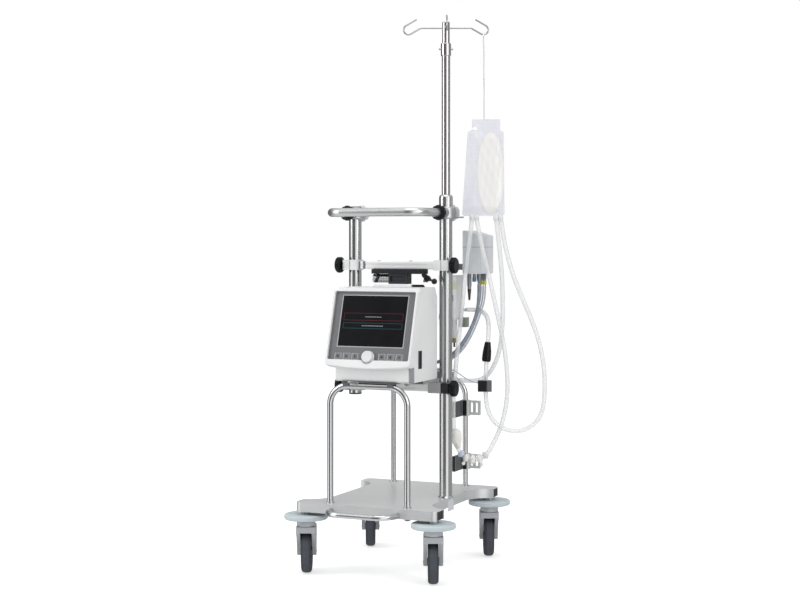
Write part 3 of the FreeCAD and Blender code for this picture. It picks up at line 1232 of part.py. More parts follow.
save("pouch_strap", cord("pouch_strap", STRAP, STRAP_R))
save("bridge_hose", cord("bridge_hose", BRIDGE_HOSE, HOSE_R))
save("drain_hose", cord("drain_hose", DRAIN_HOSE, HOSE_R))
save("return_hose", cord("return_hose", RETURN_HOSE, HOSE_R))
save("main_cable", cord("main_cable", MAIN_CABLE, CABLE_R))
save("probe_cable", *[cord("probe_cable", probe_route(i), PROBE_R) for i in PROBES])
save("flow_cable", cord("flow_cable", FLOW_CABLE, FLOW_CABLE_R))
save("line_fittings", *line_fittings())
save("flow_sensor", *flow_sensor())
save("sensor_lid", sensor_lid())
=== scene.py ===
import math

import bpy
from mathutils import Matrix, Vector


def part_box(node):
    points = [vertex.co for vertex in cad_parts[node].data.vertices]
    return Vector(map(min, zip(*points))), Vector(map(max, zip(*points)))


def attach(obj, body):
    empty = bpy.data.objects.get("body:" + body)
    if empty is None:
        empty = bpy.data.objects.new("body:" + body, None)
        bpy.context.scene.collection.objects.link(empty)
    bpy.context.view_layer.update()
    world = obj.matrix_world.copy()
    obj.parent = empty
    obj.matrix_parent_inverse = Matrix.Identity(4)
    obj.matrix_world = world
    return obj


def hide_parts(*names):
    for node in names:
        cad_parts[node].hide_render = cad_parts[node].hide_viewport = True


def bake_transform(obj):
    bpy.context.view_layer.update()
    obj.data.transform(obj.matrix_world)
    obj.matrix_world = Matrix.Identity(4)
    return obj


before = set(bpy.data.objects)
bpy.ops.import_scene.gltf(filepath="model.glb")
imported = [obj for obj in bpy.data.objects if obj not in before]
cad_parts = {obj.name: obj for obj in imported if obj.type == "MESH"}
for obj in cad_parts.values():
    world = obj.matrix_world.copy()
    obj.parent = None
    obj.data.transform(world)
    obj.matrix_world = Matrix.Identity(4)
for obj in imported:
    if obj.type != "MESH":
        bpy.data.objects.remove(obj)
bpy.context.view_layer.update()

# Camera, floor and light. The cart stands on a white studio floor; the camera is at
# chest height to its front right. Soft lamps, dark flags and bright strips round it give the
# steel its streaks.
camera_data = bpy.data.cameras.new("camera")
camera_data.sensor_width = 36
camera_data.lens = 72.99
camera_data.shift_y = -0.0482
camera = bpy.data.objects.new("camera", camera_data)
camera.location = (1.92806, -4.42628, 0.9796)
camera.rotation_euler = (math.radians(90 - 0.83), 0, math.radians(23.54))
bpy.context.collection.objects.link(camera)
bpy.context.scene.camera = camera
bpy.context.scene.view_settings.view_transform = "Standard"


def tone(red, green, blue):
    """Colour as a screen shows it, from 0 to 255, in the shader's own scale."""
    def linear(part):
        part /= 255
        return part / 12.92 if part < 0.04045 else ((part + 0.055) / 1.055) ** 2.4
    return (linear(red), linear(green), linear(blue), 1.0)


class Level:
    """A socket of a finish. Plain arithmetic on it adds Math nodes."""

    def __init__(self, finish, socket):
        self.finish = finish
        self.socket = socket

    def math(self, operation, *others):
        return self.finish.node("ShaderNodeMath", {"operation": operation}, dict(enumerate((self, *others))))

    def __add__(self, other):
        return self.math("ADD", other)

    def __sub__(self, other):
        return self.math("SUBTRACT", other)

    def __rsub__(self, other):
        return self * -1 + other

    def __mul__(self, other):
        return self.math("MULTIPLY", other)

    def __gt__(self, other):
        return self.math("GREATER_THAN", other)

    def __lt__(self, other):
        return self.math("LESS_THAN", other)

    __radd__ = __add__
    __rmul__ = __mul__

    def move(self, operation, other, output="Vector"):
        """Vector Math on this socket and another value."""
        return self.finish.node("ShaderNodeVectorMath", {"operation": operation}, {0: self, 1: other}, output)


class Nodes:
    """The nodes of a material or of the world."""

    def __init__(self, tree):
        self.tree = tree

    def node(self, kind, settings, sockets, output=0):
        """Add a node of a kind, with its settings first and then its sockets."""
        node = self.tree.nodes.new(kind)
        for setting, value in settings.items():
            setattr(node, setting, value)
        for socket, value in sockets.items():
            self.feed(node.inputs[socket], value)
        return Level(self, node.outputs[output])

    def feed(self, socket, value):
        if isinstance(value, Level):
            self.tree.links.new(value.socket, socket)
        else:
            socket.default_value = value

    def blend(self, share, first, second):
        """Colour between two, by a share from 0 to 1."""
        return self.node("ShaderNodeMix", {"data_type": "RGBA"}, {0: share, 6: first, 7: second}, 2)

    def spread(self, level, low, high, to_low=0.0, to_high=1.0):
        """Rescale a level from one range to another, held at both ends."""
        ends = {0: level, 1: low, 2: high, 3: to_low, 4: to_high}
        return self.node("ShaderNodeMapRange", {"clamp": True}, ends)


class Finish(Nodes):
    """A material: one shader and the nodes that feed it."""

    def __init__(self, name, fixed=()):
        self.material = bpy.data.materials.new(name)
        self.material.use_nodes = True
        super().__init__(self.material.node_tree)
        self.shader = self.tree.nodes["Principled BSDF"]
        for socket, value in dict(fixed).items():
            self.shader.inputs[socket].default_value = value
        self.place = self.node("ShaderNodeTexCoord", {}, {}, "Object")
        self.x, self.y, self.z = [
            self.node("ShaderNodeSeparateXYZ", {}, {0: self.place}, axis) for axis in "XYZ"]

    def give(self, **levels):
        """Feed the shader's sockets: Base_Color, Roughness and so on."""
        for socket, value in levels.items():
            self.feed(self.shader.inputs[socket.replace("_", " ")], value)
        return self

    def noise(self, scale, stretch=(1, 1, 1), detail=2.0, rough=0.5):
        spot = self.place.move("MULTIPLY", stretch)
        sockets = {"Vector": spot, "Scale": scale, "Detail": detail, "Roughness": rough}
        return self.node("ShaderNodeTexNoise", {}, sockets)

    def relief(self, height, depth, strength=1.0):
        """Feed a height to the surface as relief of a depth in metres."""
        bump = self.node("ShaderNodeBump", {}, {"Strength": strength, "Distance": depth, "Height": height})
        return self.give(Normal=bump)


floor_half = 9.0
bpy.ops.object.select_all(action="DESELECT")
bpy.ops.mesh.primitive_plane_add(size=2 * floor_half, location=(0, 3.5, 0))
floor = bpy.context.object
floor.name = "studio_floor"
floor_finish = Finish("studio_floor", {
    "Roughness": 0.8, "Specular IOR Level": 0.0, "Emission Color": (1, 1, 1, 1)})
speck = floor_finish.noise(6.0)
floor_finish.give(Base_Color=floor_finish.blend(speck, tone(236, 236, 236), tone(240, 240, 240)))
seen = floor_finish.node("ShaderNodeLightPath", {}, {}, "Is Camera Ray")
floor_finish.give(Emission_Strength=seen * 0.52)
floor.data.materials.append(floor_finish.material)
floor.visible_glossy = False

world = bpy.data.worlds.new("studio")
world.use_nodes = True
bpy.context.scene.world = world
sky = Nodes(world.node_tree)
way = sky.node("ShaderNodeTexCoord", {}, {}, "Generated")
height = sky.node("ShaderNodeSeparateXYZ", {}, {0: way}, "Z").math("ABSOLUTE")
TO_CAMERA, TO_ITS_SIDE = (0.3994, -0.9168, 0), (0.9168, 0.3994, 0)
ahead = way.move("DOT_PRODUCT", TO_CAMERA, "Value")
aside = way.move("DOT_PRODUCT", TO_ITS_SIDE, "Value")
bearing = aside.math("ARCTAN2", ahead) * math.degrees(1)


def between(low, high):
    """Share of the sky between two bearings, in degrees from the way to the camera."""
    return sky.spread(bearing, low - 5, low) * sky.spread(bearing, high, high + 5, 1, 0)


flags = between(-175, -97) * 0.82 + between(-51, -2) * 0.8 + between(47, 175) * 0.52
streaks = between(-87, -61) + between(8, 37)
shown = 1 - (flags - streaks * 0.55) * sky.spread(height, 0.4, 0.75, 1, 0)
rays = [sky.node("ShaderNodeLightPath", {}, {}, "Is %s Ray" % kind)
        for kind in ("Camera", "Transmission", "Glossy")]
backdrop = sky.tree.nodes["Background"]
backdrop.inputs["Color"].default_value = (1, 1, 1, 1)
sky.feed(backdrop.inputs["Strength"], (rays[0] + rays[1]) * 0.38 + rays[2] * (shown - 0.62) + 0.62)


def soft_lamp(name, place, aim, width, height, power):
    """Soft box that shines from a place at a point."""
    light = bpy.data.lights.new(name, "AREA")
    light.shape = "RECTANGLE"
    light.size, light.size_y, light.energy = width, height, power
    lamp = bpy.data.objects.new(name, light)
    lamp.location = place
    lamp.rotation_euler = (Vector(aim) - Vector(place)).to_track_quat("-Z", "Y").to_euler()
    bpy.context.collection.objects.link(lamp)


soft_lamp("lamp_left", (-2.9, -2.6, 2.3), (0, 0, 0.8), 1.0, 2.4, 52)
soft_lamp("lamp_right", (3.6, -1.4, 2.0), (0, 0, 0.8), 0.9, 2.2, 30)
soft_lamp("lamp_over", (0.3, -0.8, 3.9), (0, 0, 0.6), 2.2, 2.2, 34)

# Blood hoses. Three clear PVC hoses, half an inch thick, run between the priming bag, the
# pump's inlet, the lung's outlet and back; they hang in a loop to the right of the cart.
MM = 0.001
TURN = math.radians(23.5)
COLUMN_X = 147


def smooth_line(name, route):
    """Smooth spline with the route's points, in millimetres, as its control points."""
    curve = bpy.data.curves.new(name, "CURVE")
    curve.dimensions = "3D"
    curve.resolution_u = 14
    spline = curve.splines.new("NURBS")
    spline.points.add(len(route) - 1)
    for point, place in zip(spline.points, route):
        point.co = (place[0] * MM, place[1] * MM, place[2] * MM, 1)
    spline.order_u = 3
    spline.use_endpoint_u = True
    return curve


def line_points(name, route):
    """Points along the smooth line, read from its spline with no thickness."""
    curve = smooth_line(name, route)
    thread = bpy.data.objects.new(name, curve)
    mesh = bpy.data.meshes.new_from_object(thread)
    points = [v.co.copy() for v in mesh.vertices]
    bpy.data.objects.remove(thread)
    return points


def tube_mesh(name, route, radius):
    """Round tube along the smooth line, as a mesh with closed ends and its own UV map."""
    curve = smooth_line(name + "_line", route)
    curve.bevel_depth = radius * MM
    curve.bevel_resolution = 5
    curve.use_fill_caps = True
    thread = bpy.data.objects.new(name + "_line", curve)
    tube = bpy.data.objects.new(name, bpy.data.meshes.new_from_object(thread))
    bpy.data.objects.remove(thread)
    bpy.context.collection.objects.link(tube)
    for face in tube.data.polygons:
        face.use_smooth = len(face.vertices) == 4
    return tube


def dress(piece, finish):
    """Give a piece, or a node of the frame by its name, one finish."""
    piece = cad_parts[piece] if isinstance(piece, str) else piece
    piece.data.materials.clear()
    piece.data.materials.append(finish.material)


def hung(along, depth, z):
    """Point on the plane in which the hoses hang, through the main column."""
    x = COLUMN_X + along * math.cos(TURN) - depth * math.sin(TURN)
    return (x, along * math.sin(TURN) + depth * math.cos(TURN), z)


clear_hose = Finish("clear_hose", {"IOR": 1.5, "Coat Weight": 0.25, "Coat Roughness": 0.08})
rim = clear_hose.node("ShaderNodeLayerWeight", {}, {"Blend": 0.35}, "Facing")
mist = clear_hose.noise(260, detail=3)
# The base colour turns grey where the hose is seen edge-on: painted shade of the tube's walls, taken from the
# view direction.
edge = clear_hose.spread(rim, 0.2, 1.0)
clear_hose.give(Base_Color=clear_hose.blend(edge, tone(246, 247, 248), tone(196, 199, 203)),
                Alpha=clear_hose.spread(rim, 0.0, 0.9, 0.42, 0.92), Roughness=0.16 + mist * 0.14)
clear_hose.relief(clear_hose.noise(45), 0.0002, 0.1)

BRIDGE_ROUTE = [hung(77, 0, 1042.7), hung(72, 1, 985), hung(62, 4, 915), hung(54, 8, 840),
                hung(46.5, 14, 760), hung(38.5, 20, 680), hung(31, 24, 610), hung(26, 26, 545),
                hung(22, 27, 485), hung(23.5, 27, 430), hung(27.5, 27, 398), hung(33.3, 26.5, 368.7),
                hung(39.4, 26, 349.3), hung(52.6, 25, 333.8), hung(70.8, 24, 324.7),
                hung(91.1, 22, 323.5), hung(110.3, 20, 330.3), hung(125.3, 18.5, 344),
                hung(135, 18, 361), hung(150, 17, 391), hung(166, 15, 429), hung(178, 13, 480),
                hung(183, 8, 535), hung(180, 3, 592), hung(172, -2, 660), hung(157, -5, 730),
                hung(138, -6, 815), hung(121, -5, 895), hung(102, -3, 968), hung(89, 0, 1042.6)]
DRAIN_ROUTE = [hung(147, 0, 1043.4), hung(155.5, 6, 970), hung(164.5, 13, 890), hung(168.5, 20, 810),
               hung(169, 26, 735), hung(165, 33, 672), (275, 99.5, 633), (263.5, 103, 607),
               (249.5, 105, 583.5), (232.5, 105.5, 565), (212, 105.3, 555), (189, 105.1, 551.5),
               (165, 104.8, 552.2), (141.2, 105, 553)]
RETURN_ROUTE = [(167.6, 118, 764), (194, 120, 765), (220, 116, 760), (242, 98, 743), (254.5, 74, 714),
                hung(124, 3, 677), hung(120.5, 1, 636), hung(118.5, 0, 598), hung(117.5, 0, 558),
                hung(117.5, 0.5, 512), hung(123, 0, 470), hung(145, 0, 433), hung(183, 0, 411),
                hung(227, 0, 411), hung(264, 0, 432), hung(286, 0, 470), hung(292, 0, 530),
                hung(290, 0, 595), hung(277, 0, 668), hung(253, 0, 738), hung(225, 2, 802),
                hung(197.5, 4, 870), hung(178, 5, 940), hung(168, 3, 990), hung(160.5, 0, 1043.6)]
HOSE_RADIUS = 6.35
hose_lines = {}
for name, route, length, low, high in (
        ("bridge_hose", BRIDGE_ROUTE, 1.519, (0.2, 0, 0.58), (0.2, 0, 1.03)),
        ("drain_hose", DRAIN_ROUTE, 0.589, (0.2, 0, 0.64), (0.2, 0, 1.03)),
        ("return_hose", RETURN_ROUTE, 1.1815, (0.30, 0.064, 0.72), (0.40, 0.064, 0.97))):
    hose = tube_mesh("clear_" + name, route, HOSE_RADIUS)
    hose_lines[name] = line_points(name + "_middle", route)
    dress(hose, clear_hose)
    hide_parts(name)
    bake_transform(hose)
    [part * MM for part in route[0]]

# Cables and the bag's cord. The thick signal cable and three thin probe leads drop from the
# sensor box to the console's back; a thin lead runs to the flow sensor. The white cord is
# plaited and hangs from one hook.
cable_skin = Finish("cable_skin", {"IOR": 1.45})
bend_marks = cable_skin.noise(70, detail=3)
cable_skin.give(Base_Color=cable_skin.blend(bend_marks, tone(118, 126, 138), tone(164, 172, 184)),
                Roughness=0.38 + bend_marks * 0.2)
cable_skin.relief(cable_skin.noise(1800), 0.0001, 0.3)
lead_skin = Finish("lead_skin", {"IOR": 1.45})
lead_marks = lead_skin.noise(60, detail=3)
lead_skin.give(Base_Color=lead_skin.blend(lead_marks, tone(178, 182, 196), tone(214, 218, 228)),
               Roughness=0.35 + lead_marks * 0.2)
lead_skin.relief(lead_skin.noise(1500), 0.0001, 0.3)
plaited = Finish("plaited_cord")
strands = plaited.node("ShaderNodeTexWave", {"bands_direction": "DIAGONAL"},
                       {"Vector": plaited.place, "Scale": 190.0, "Distortion": 1.2})
plaited.give(Base_Color=plaited.blend(strands, tone(198, 199, 200), tone(240, 240, 238)),
             Roughness=0.75 + strands * 0.1)
plaited.relief(strands, 0.0005, 0.6)

MAIN_ROUTE = [(216, 92, 842.3), (217, 91, 800), (211, 84, 748), (192, 72, 696), (165, 60, 652),
              (136, 46, 622), (108, 24, 610), (92, -2, 607), (87, -28, 606)]
PROBE_ROUTE = [(221, 114, 836.3), (222, 113, 800), (212, 100, 756), (196, 86, 702), (173, 72, 654),
               (142, 60, 620), (108, 43, 609), (78, 23, 610), (54, 0, 612), (46, -28, 612)]
FLOW_ROUTE = [(233.4, 37.7, 553), (219, 31.8, 556), (203, 37, 561), (186, 44, 568), (167, 47.5, 580),
              (146, 44.5, 590), (124, 31, 592), (108, 10, 589), (102, -8, 587), (101, -28.6, 587)]
STRAP_ROUTE = [hung(110, 0, 1565.5), hung(111.6, 1, 1518), hung(110.4, 0, 1468), hung(112.4, 1, 1418),
               hung(111.2, 0, 1372), hung(112, 0, 1328.4)]


def probe_way(i):
    """Way of one of the three leads, beside the middle one until it meets the console."""
    x, y, z = PROBE_ROUTE[-1]
    return [(px + 8 * i, py - 3 * i, pz) for px, py, pz in PROBE_ROUTE[:-1]] + [(x + 5 * i, y, z)]


def run_cord(name, node, body, route, radius, finish):
    """One cable as a spline with a round section."""
    curve = smooth_line(name, route)
    curve.bevel_depth = radius * MM
    curve.bevel_resolution = 4
    curve.use_fill_caps = True
    piece = bpy.data.objects.new(name, curve)
    bpy.context.collection.objects.link(piece)
    curve.materials.append(finish.material)
    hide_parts(node)
    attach(piece, body)
    [part * MM for part in route[0]]
    return piece


run_cord("signal_cable", "main_cable", "cart", MAIN_ROUTE, 5.0, cable_skin)
for i, length in ((-1, 0.3822), (0, 0.3794), (1, 0.3767)):
    run_cord("probe_lead_" + "abc"[i + 1], "probe_cable", "cart", probe_way(i), 2.4,
             lead_skin)
run_cord("flow_lead", "flow_cable", "cart", FLOW_ROUTE, 1.6, lead_skin)
run_cord("bag_cord", "pouch_strap", "hook_pole", STRAP_ROUTE, 2.0, plaited)

# Casters. Four swivel casters of 125 mm: nylon forks, charcoal rubber tyres on grey hubs,
# each under a pale rubber disc that keeps the cart off walls and door frames.
CASTER_X, CASTER_Y, TRAIL, WHEEL_RADIUS = 0.2, 0.2245, 0.04, 0.0625
HUB_RADIUS, MOULD_RING = 0.0486, 0.0021
CASTERS = {"fl": (-1, -1), "fr": (1, -1), "rl": (-1, 1), "rr": (1, 1)}


def moulded(name, dark, light, rough=0.45, grain=700.0, depth=0.00012, shine=0.4):
    """Moulded plastic: a fine eroded skin, with slow changes of colour and gloss."""
    plastic = Finish(name, {"IOR": 1.46, "Specular IOR Level": shine})
    skin = plastic.noise(grain, detail=3)
    slow = plastic.noise(9.0, detail=3)
    plastic.give(Base_Color=plastic.blend(slow * 0.75 + skin * 0.25, dark, light),
                 Roughness=rough - 0.08 + slow * 0.16)
    return plastic.relief(skin, depth, 0.5)


fork_plastic = moulded("fork_plastic", tone(166, 169, 174), tone(192, 195, 199), 0.46)
for corner, (side, end) in CASTERS.items():
    dress("caster_fork_" + corner, fork_plastic)
    tyre = Finish("caster_wheel_" + corner, {"IOR": 1.5, "Specular IOR Level": 0.3})
    centre = (side * CASTER_X - TRAIL * math.sin(TURN), end * CASTER_Y + TRAIL * math.cos(TURN), WHEEL_RADIUS)
    from_centre = tyre.place.move("SUBTRACT", centre)
    across = from_centre.move("DOT_PRODUCT", (math.cos(TURN), math.sin(TURN), 0), "Value")
    far = from_centre.move("LENGTH", (0, 0, 0), "Value")
    radius = (far * far - across * across).math("SQRT")
    rubber = radius > HUB_RADIUS
    dust = tyre.noise(55.0, detail=4)
    tread = tyre.spread(radius, 0.0605, 0.0624)
    black = tyre.blend(dust * 0.5 + tread * 0.5, tone(52, 55, 62), tone(86, 89, 96))
    grey = tyre.blend(dust, tone(84, 88, 96), tone(112, 116, 124))
    tyre.give(Base_Color=tyre.blend(rubber, grey, black), Roughness=0.42 + rubber * 0.25 + dust * 0.15)
    ring = tyre.node("ShaderNodeMath", {"operation": "PINGPONG"}, {0: radius, 1: MOULD_RING})
    tyre.relief(ring * rubber * 180 + dust * 0.2, 0.0005, 0.5)
    dress("caster_wheel_" + corner, tyre)



def within(level, low, high):
    """Share that is 1 between two levels and 0 elsewhere."""
    return (level > low) * (level < high)


mounts = Finish("caster_mounts", {"IOR": 1.48})
disc = within(mounts.z, 0.1639, 0.1791)
cup = mounts.z < 0.1639
joint_line = (mounts.z < 0.1446) + (mounts.z > 0.1637) * cup
slow = mounts.noise(22.0, detail=3)
fine = mounts.noise(800.0)
zinc = mounts.blend(slow, tone(150, 152, 156), tone(190, 192, 196))
pale = mounts.blend(cup, mounts.blend(slow, tone(188, 200, 204), tone(205, 216, 220)),
                    mounts.blend(slow, tone(176, 179, 183), tone(200, 203, 206)))
pale = mounts.blend(joint_line, pale, tone(60, 62, 66))
mounts.give(Base_Color=mounts.blend(disc + cup, zinc, pale), Metallic=1 - disc - cup,
            Roughness=0.34 + disc * 0.2 + slow * 0.12)
mounts.relief(fine, 0.00015, 0.4)
dress("caster_mounts", mounts)

# Base. A folded stainless plate with a waist, on two box beams with black end plugs, and a
# bent tube in front to pull the cart by. A small bare tag is riveted to its right edge.


def brushed(name, dark, light, grain, rough=0.24, metal=1.0):
    """Brushed stainless steel; the grain is stretched along the tube or sheet."""
    steel = Finish(name, {"Metallic": metal, "Specular IOR Level": 0.5})
    line = steel.noise(520.0, grain, detail=3)
    slow = steel.noise(7.0, detail=3)
    steel.give(Base_Color=steel.blend(line * 0.7 + slow * 0.3, dark, light),
               Roughness=rough - 0.06 + line * 0.1 + slow * 0.06)
    return steel.relief(line, 0.00003, 0.06)


sheet_steel = brushed("sheet_steel", tone(196, 197, 198), tone(222, 223, 223), (0.03, 1, 1), 0.36, 0.5)
dress("base_plate", sheet_steel)
beams = Finish("base_beams", {"IOR": 1.48})
plug = beams.x.math("ABSOLUTE") > 0.2149
slow = beams.noise(30.0, detail=3)
beams.give(Base_Color=beams.blend(plug, beams.blend(slow, tone(150, 152, 154), tone(190, 192, 194)),
                                  beams.blend(slow, tone(26, 26, 28), tone(46, 46, 48))),
           Metallic=1 - plug, Roughness=0.3 + plug * 0.2 + slow * 0.1)
beams.relief(beams.noise(600.0), 0.00012, 0.4)
dress("base_beams", beams)
tube_across = brushed("tube_across", tone(178, 179, 181), tone(214, 215, 216), (0.03, 1, 1), 0.2)
dress("pull_hoop", tube_across)

# Hoops. One stands in front under the console, the other at the back carries the holders;
# both are bent stainless tube, welded to a round foot and bolted through the plate.
hoop_steel = brushed("hoop_steel", tone(176, 177, 179), tone(214, 215, 216), (1, 1, 0.03), 0.16)
dress("front_hoop", hoop_steel)
dress("rear_hoop", hoop_steel)

# Columns and pole. The tall right column is welded to the plate and ends in a domed cap;
# the short left one hangs in the cross bars and ends in a flat black plug.
column_steel = brushed("column_steel", tone(166, 167, 168), tone(206, 207, 207), (1, 1, 0.02), 0.19)
dress("main_column", column_steel)
side = Finish("side_column", {"IOR": 1.48})
stopper = (side.z > 1.0679) + (side.z < 0.5141)
line = side.noise(520.0, (1, 1, 0.02), detail=3)
slow = side.noise(7.0, detail=3)
steel = side.blend(line * 0.55 + slow * 0.45, tone(166, 167, 168), tone(206, 207, 207))
side.give(Base_Color=side.blend(stopper, steel, side.blend(slow, tone(24, 24, 26), tone(44, 44, 46))),
          Metallic=1 - stopper, Roughness=0.1 + stopper * 0.35 + slow * 0.08)
side.relief(line, 0.00003, 0.06)
dress("side_column", side)
pole_steel = brushed("pole_steel", tone(150, 148, 148), tone(196, 194, 193), (1, 1, 0.02), 0.14)
dress("pole_tube", pole_steel)
dress("hook_pole", pole_steel)

# Push handle. A bent stainless tube held in two cast clamps; black lobed rings lock it, and
# a pale star knob behind each column presses on the tube.
dress("handle_bar", brushed("handle_steel", tone(176, 177, 178), tone(212, 213, 213), (0.03, 1, 1), 0.27))
clamps = Finish("handle_clamps", {"IOR": 1.5, "Specular IOR Level": 0.3})
grip = clamps.y < -0.0499
slow = clamps.noise(34.0, detail=3)
fine = clamps.noise(750.0, detail=3)
clamps.give(Base_Color=clamps.blend(grip, clamps.blend(slow, tone(150, 151, 153), tone(206, 207, 208)),
                                    clamps.blend(slow, tone(10, 10, 12), tone(24, 24, 26))),
            Metallic=1 - grip, Roughness=0.34 + grip * 0.08 + slow * 0.14)
clamps.relief(fine, 0.00014, 0.5)
dress("handle_clamps", clamps)
knob_black = moulded("knob_black", tone(5, 6, 9), tone(17, 19, 24), 0.36, shine=0.2)
for knob in ("clamp_knob_ul", "clamp_knob_ur", "clamp_knob_ll", "clamp_knob_lr"):
    dress(knob, knob_black)
knob_pale = moulded("knob_pale", tone(204, 206, 208), tone(228, 229, 230), 0.34)
dress("handle_knob_left", knob_pale)
dress("handle_knob_right", knob_pale)

# Cross bars. Two extruded aluminium bars join the columns; each end is held by a split jaw
# that a black star knob draws together. The upper jaws are cast alloy, the lower outer ones black.
bars = Finish("bar_aluminium", {"Specular IOR Level": 0.4})
collars = (bars.z > 0.8) * (within(bars.x, -0.1197, -0.113) + within(bars.x, -0.1047, -0.0966))
line = bars.noise(520.0, (0.03, 1, 1), detail=3)
slow = bars.noise(7.0, detail=3)
anodised = bars.blend(line * 0.6 + slow * 0.4, tone(224, 225, 226), tone(242, 242, 242))
bars.give(Base_Color=bars.blend(collars, anodised, tone(118, 120, 126)), Metallic=0.3 - collars * 0.1,
          Roughness=0.36 + line * 0.12)
bars.relief(line, 0.00006, 0.35)
dress("cross_bars", bars)
jaws = Finish("bar_jaws", {"IOR": 1.5})
black = (jaws.z < 0.6) * (jaws.x.math("ABSOLUTE") > 0.147)
slow = jaws.noise(34.0, detail=3)
fine = jaws.noise(750.0, detail=3)
cast = jaws.blend(jaws.z < 0.6, jaws.blend(slow, tone(218, 218, 219), tone(238, 238, 238)),
                  jaws.blend(slow, tone(146, 146, 149), tone(180, 180, 183)))
jaws.give(Base_Color=jaws.blend(black, cast, jaws.blend(slow, tone(14, 14, 18), tone(30, 30, 35))),
          Metallic=(1 - black) * 0.4, Roughness=0.4 + slow * 0.14)
jaws.relief(fine, 0.00014, 0.5)
dress("bar_jaws", jaws)

# Dock. A black rail under the upper bar takes the console; a latch block with a ribbed
# barrel and a small lever with a ball release it.
dock = Finish("dock", {"IOR": 1.5, "Specular IOR Level": 0.3})
barrel = (dock.z < 0.8717) * (dock.x < -0.0141)
strap = (dock.x - dock.z * 0.6 + 0.5672).math("ABSOLUTE") < 0.0058
plate = dock.z > 0.8724
barrel = barrel * (1 - strap)
slow = dock.noise(40.0, detail=3)
fine = dock.noise(750.0, detail=3)
black = dock.blend(plate, dock.blend(slow, tone(36, 38, 43), tone(50, 52, 58)),
                   dock.blend(slow, tone(16, 16, 20), tone(32, 32, 37)))
dock.give(Base_Color=dock.blend(barrel, black, dock.blend(slow, tone(166, 167, 168), tone(216, 217, 217))),
          Metallic=barrel, Roughness=0.42 - barrel * 0.2 + slow * 0.12)
dock.relief(fine, 0.00014, 0.5)
dress("dock", dock)
dress("dock_lever", moulded("lever_plastic", tone(16, 12, 13), tone(34, 26, 28), 0.34, shine=0.3))
dress("support_tray", moulded("tray_coat", tone(78, 79, 82), tone(104, 105, 108), 0.5, 520.0))

# Console. A white moulded housing with a bowed front frame; a grey panel sits back in it with
# the screen, six keys and the menu knob.
FACE_SLOPE = math.radians(72.9)
KEY_MIDDLES = (-96, -69, -42, 42, 69, 96)


def on_face(finish):
    """Distances across and up the console's sloping face, in metres, for a pattern."""
    across = finish.x - 0.003
    up = (finish.y + 0.2486) * math.cos(FACE_SLOPE) + (finish.z - 0.617) * math.sin(FACE_SLOPE)
    return across, up


def patch(u, v, left, right, low, high):
    """Share that is 1 inside a rectangle on the face and 0 outside it."""
    return within(u, left * MM, right * MM) * within(v, low * MM, high * MM)


shell_white = moulded("shell_white", tone(224, 225, 226), tone(237, 237, 237), 0.4, 820.0, 0.00008)
# The side slot is painted near black: painted shade inside the slot.
slot_shade = (shell_white.x > 0.12) * within(shell_white.y, -0.171, -0.144) * within(shell_white.z, 0.605, 0.657)
latch = within(shell_white.x, 0.1312, 0.1345) * within(shell_white.y, -0.085, -0.037)
latch = latch * within(shell_white.z, 0.782, 0.815)
trim = (shell_white.x > 0.125) * (shell_white.y < -0.2) * (shell_white.z < 0.612)
ground = shell_white.blend(shell_white.noise(9.0, detail=3), tone(224, 225, 226), tone(237, 237, 237))
ground = shell_white.blend(trim, ground, tone(150, 151, 155))
shell_white.give(Base_Color=shell_white.blend(slot_shade + latch, ground, tone(44, 45, 49)))
dress("console_shell", shell_white)
panel = moulded("panel_grey", tone(104, 105, 108), tone(120, 121, 123), 0.5, 900.0, 0.00008, shine=0.25)
u, v = on_face(panel)
rim = patch(u, v, -104.6, 104.6, 54.9, 210.1)
pads = 0
for middle in KEY_MIDDLES:
    pads = patch(u, v, middle - 11.6, middle + 11.6, 17.6, 37.4) + pads
ground = panel.blend(panel.noise(9.0, detail=3), tone(104, 105, 108), tone(120, 121, 123))
panel.give(Base_Color=panel.blend(rim + pads, ground, tone(176, 177, 180)))
dress("key_panel", panel)
dress("menu_knob", moulded("knob_white", tone(212, 214, 214), tone(232, 233, 233), 0.36, 820.0, 0.00006))

glass = Finish("screen_glass", {"IOR": 1.5, "Specular IOR Level": 0.16})
u, v = on_face(glass)
red_box = patch(u, v, -93, 93, 134, 156) - patch(u, v, -91.8, 91.8, 135.2, 154.8)
teal_box = patch(u, v, -93, 93, 110, 127) - patch(u, v, -91.8, 91.8, 111.2, 125.8)
gaps = glass.node("ShaderNodeMath", {"operation": "PINGPONG"}, {0: u, 1: 0.0024}) > 0.0008
dashes = (patch(u, v, -26, 26, 143.8, 146.2) + patch(u, v, -34, 34, 117.3, 119.7)) * gaps
smear = glass.noise(24.0, detail=3)
lit = glass.blend(smear, tone(14, 14, 16), tone(24, 24, 27))
lit = glass.blend(red_box, lit, tone(96, 40, 46))
lit = glass.blend(teal_box, lit, tone(38, 84, 92))
glass.give(Base_Color=glass.blend(dashes, lit, tone(150, 154, 158)), Roughness=0.1 + smear * 0.1)
dress("screen_glass", glass)

for number, middle in enumerate(KEY_MIDDLES):
    cap = moulded("key_%d" % (number + 1), tone(104, 105, 108), tone(120, 121, 123), 0.46, 900.0, 0.00008,
                  shine=0.25)
    u, v = on_face(cap)
    mark = patch(u, v, middle - 4 + number % 3, middle + 4 - number % 3, 26, 29)
    mark = mark + patch(u, v, middle - 1, middle + 1, 24 + number % 2, 31)
    ground = cap.blend(cap.noise(9.0), tone(106, 107, 110), tone(122, 123, 125))
    edge = patch(u, v, middle - 9.4, middle + 9.4, 18.1, 36.9)
    edge = edge - patch(u, v, middle - 8, middle + 8, 19.5, 35.5)
    ground = cap.blend(edge, ground, tone(172, 173, 176))
    cap.give(Base_Color=cap.blend(mark, ground, tone(48, 49, 52)))
    dress("key_%d" % (number + 1), cap)
dress("console_electronics", moulded("board_green", tone(36, 74, 52), tone(60, 104, 76), 0.5))

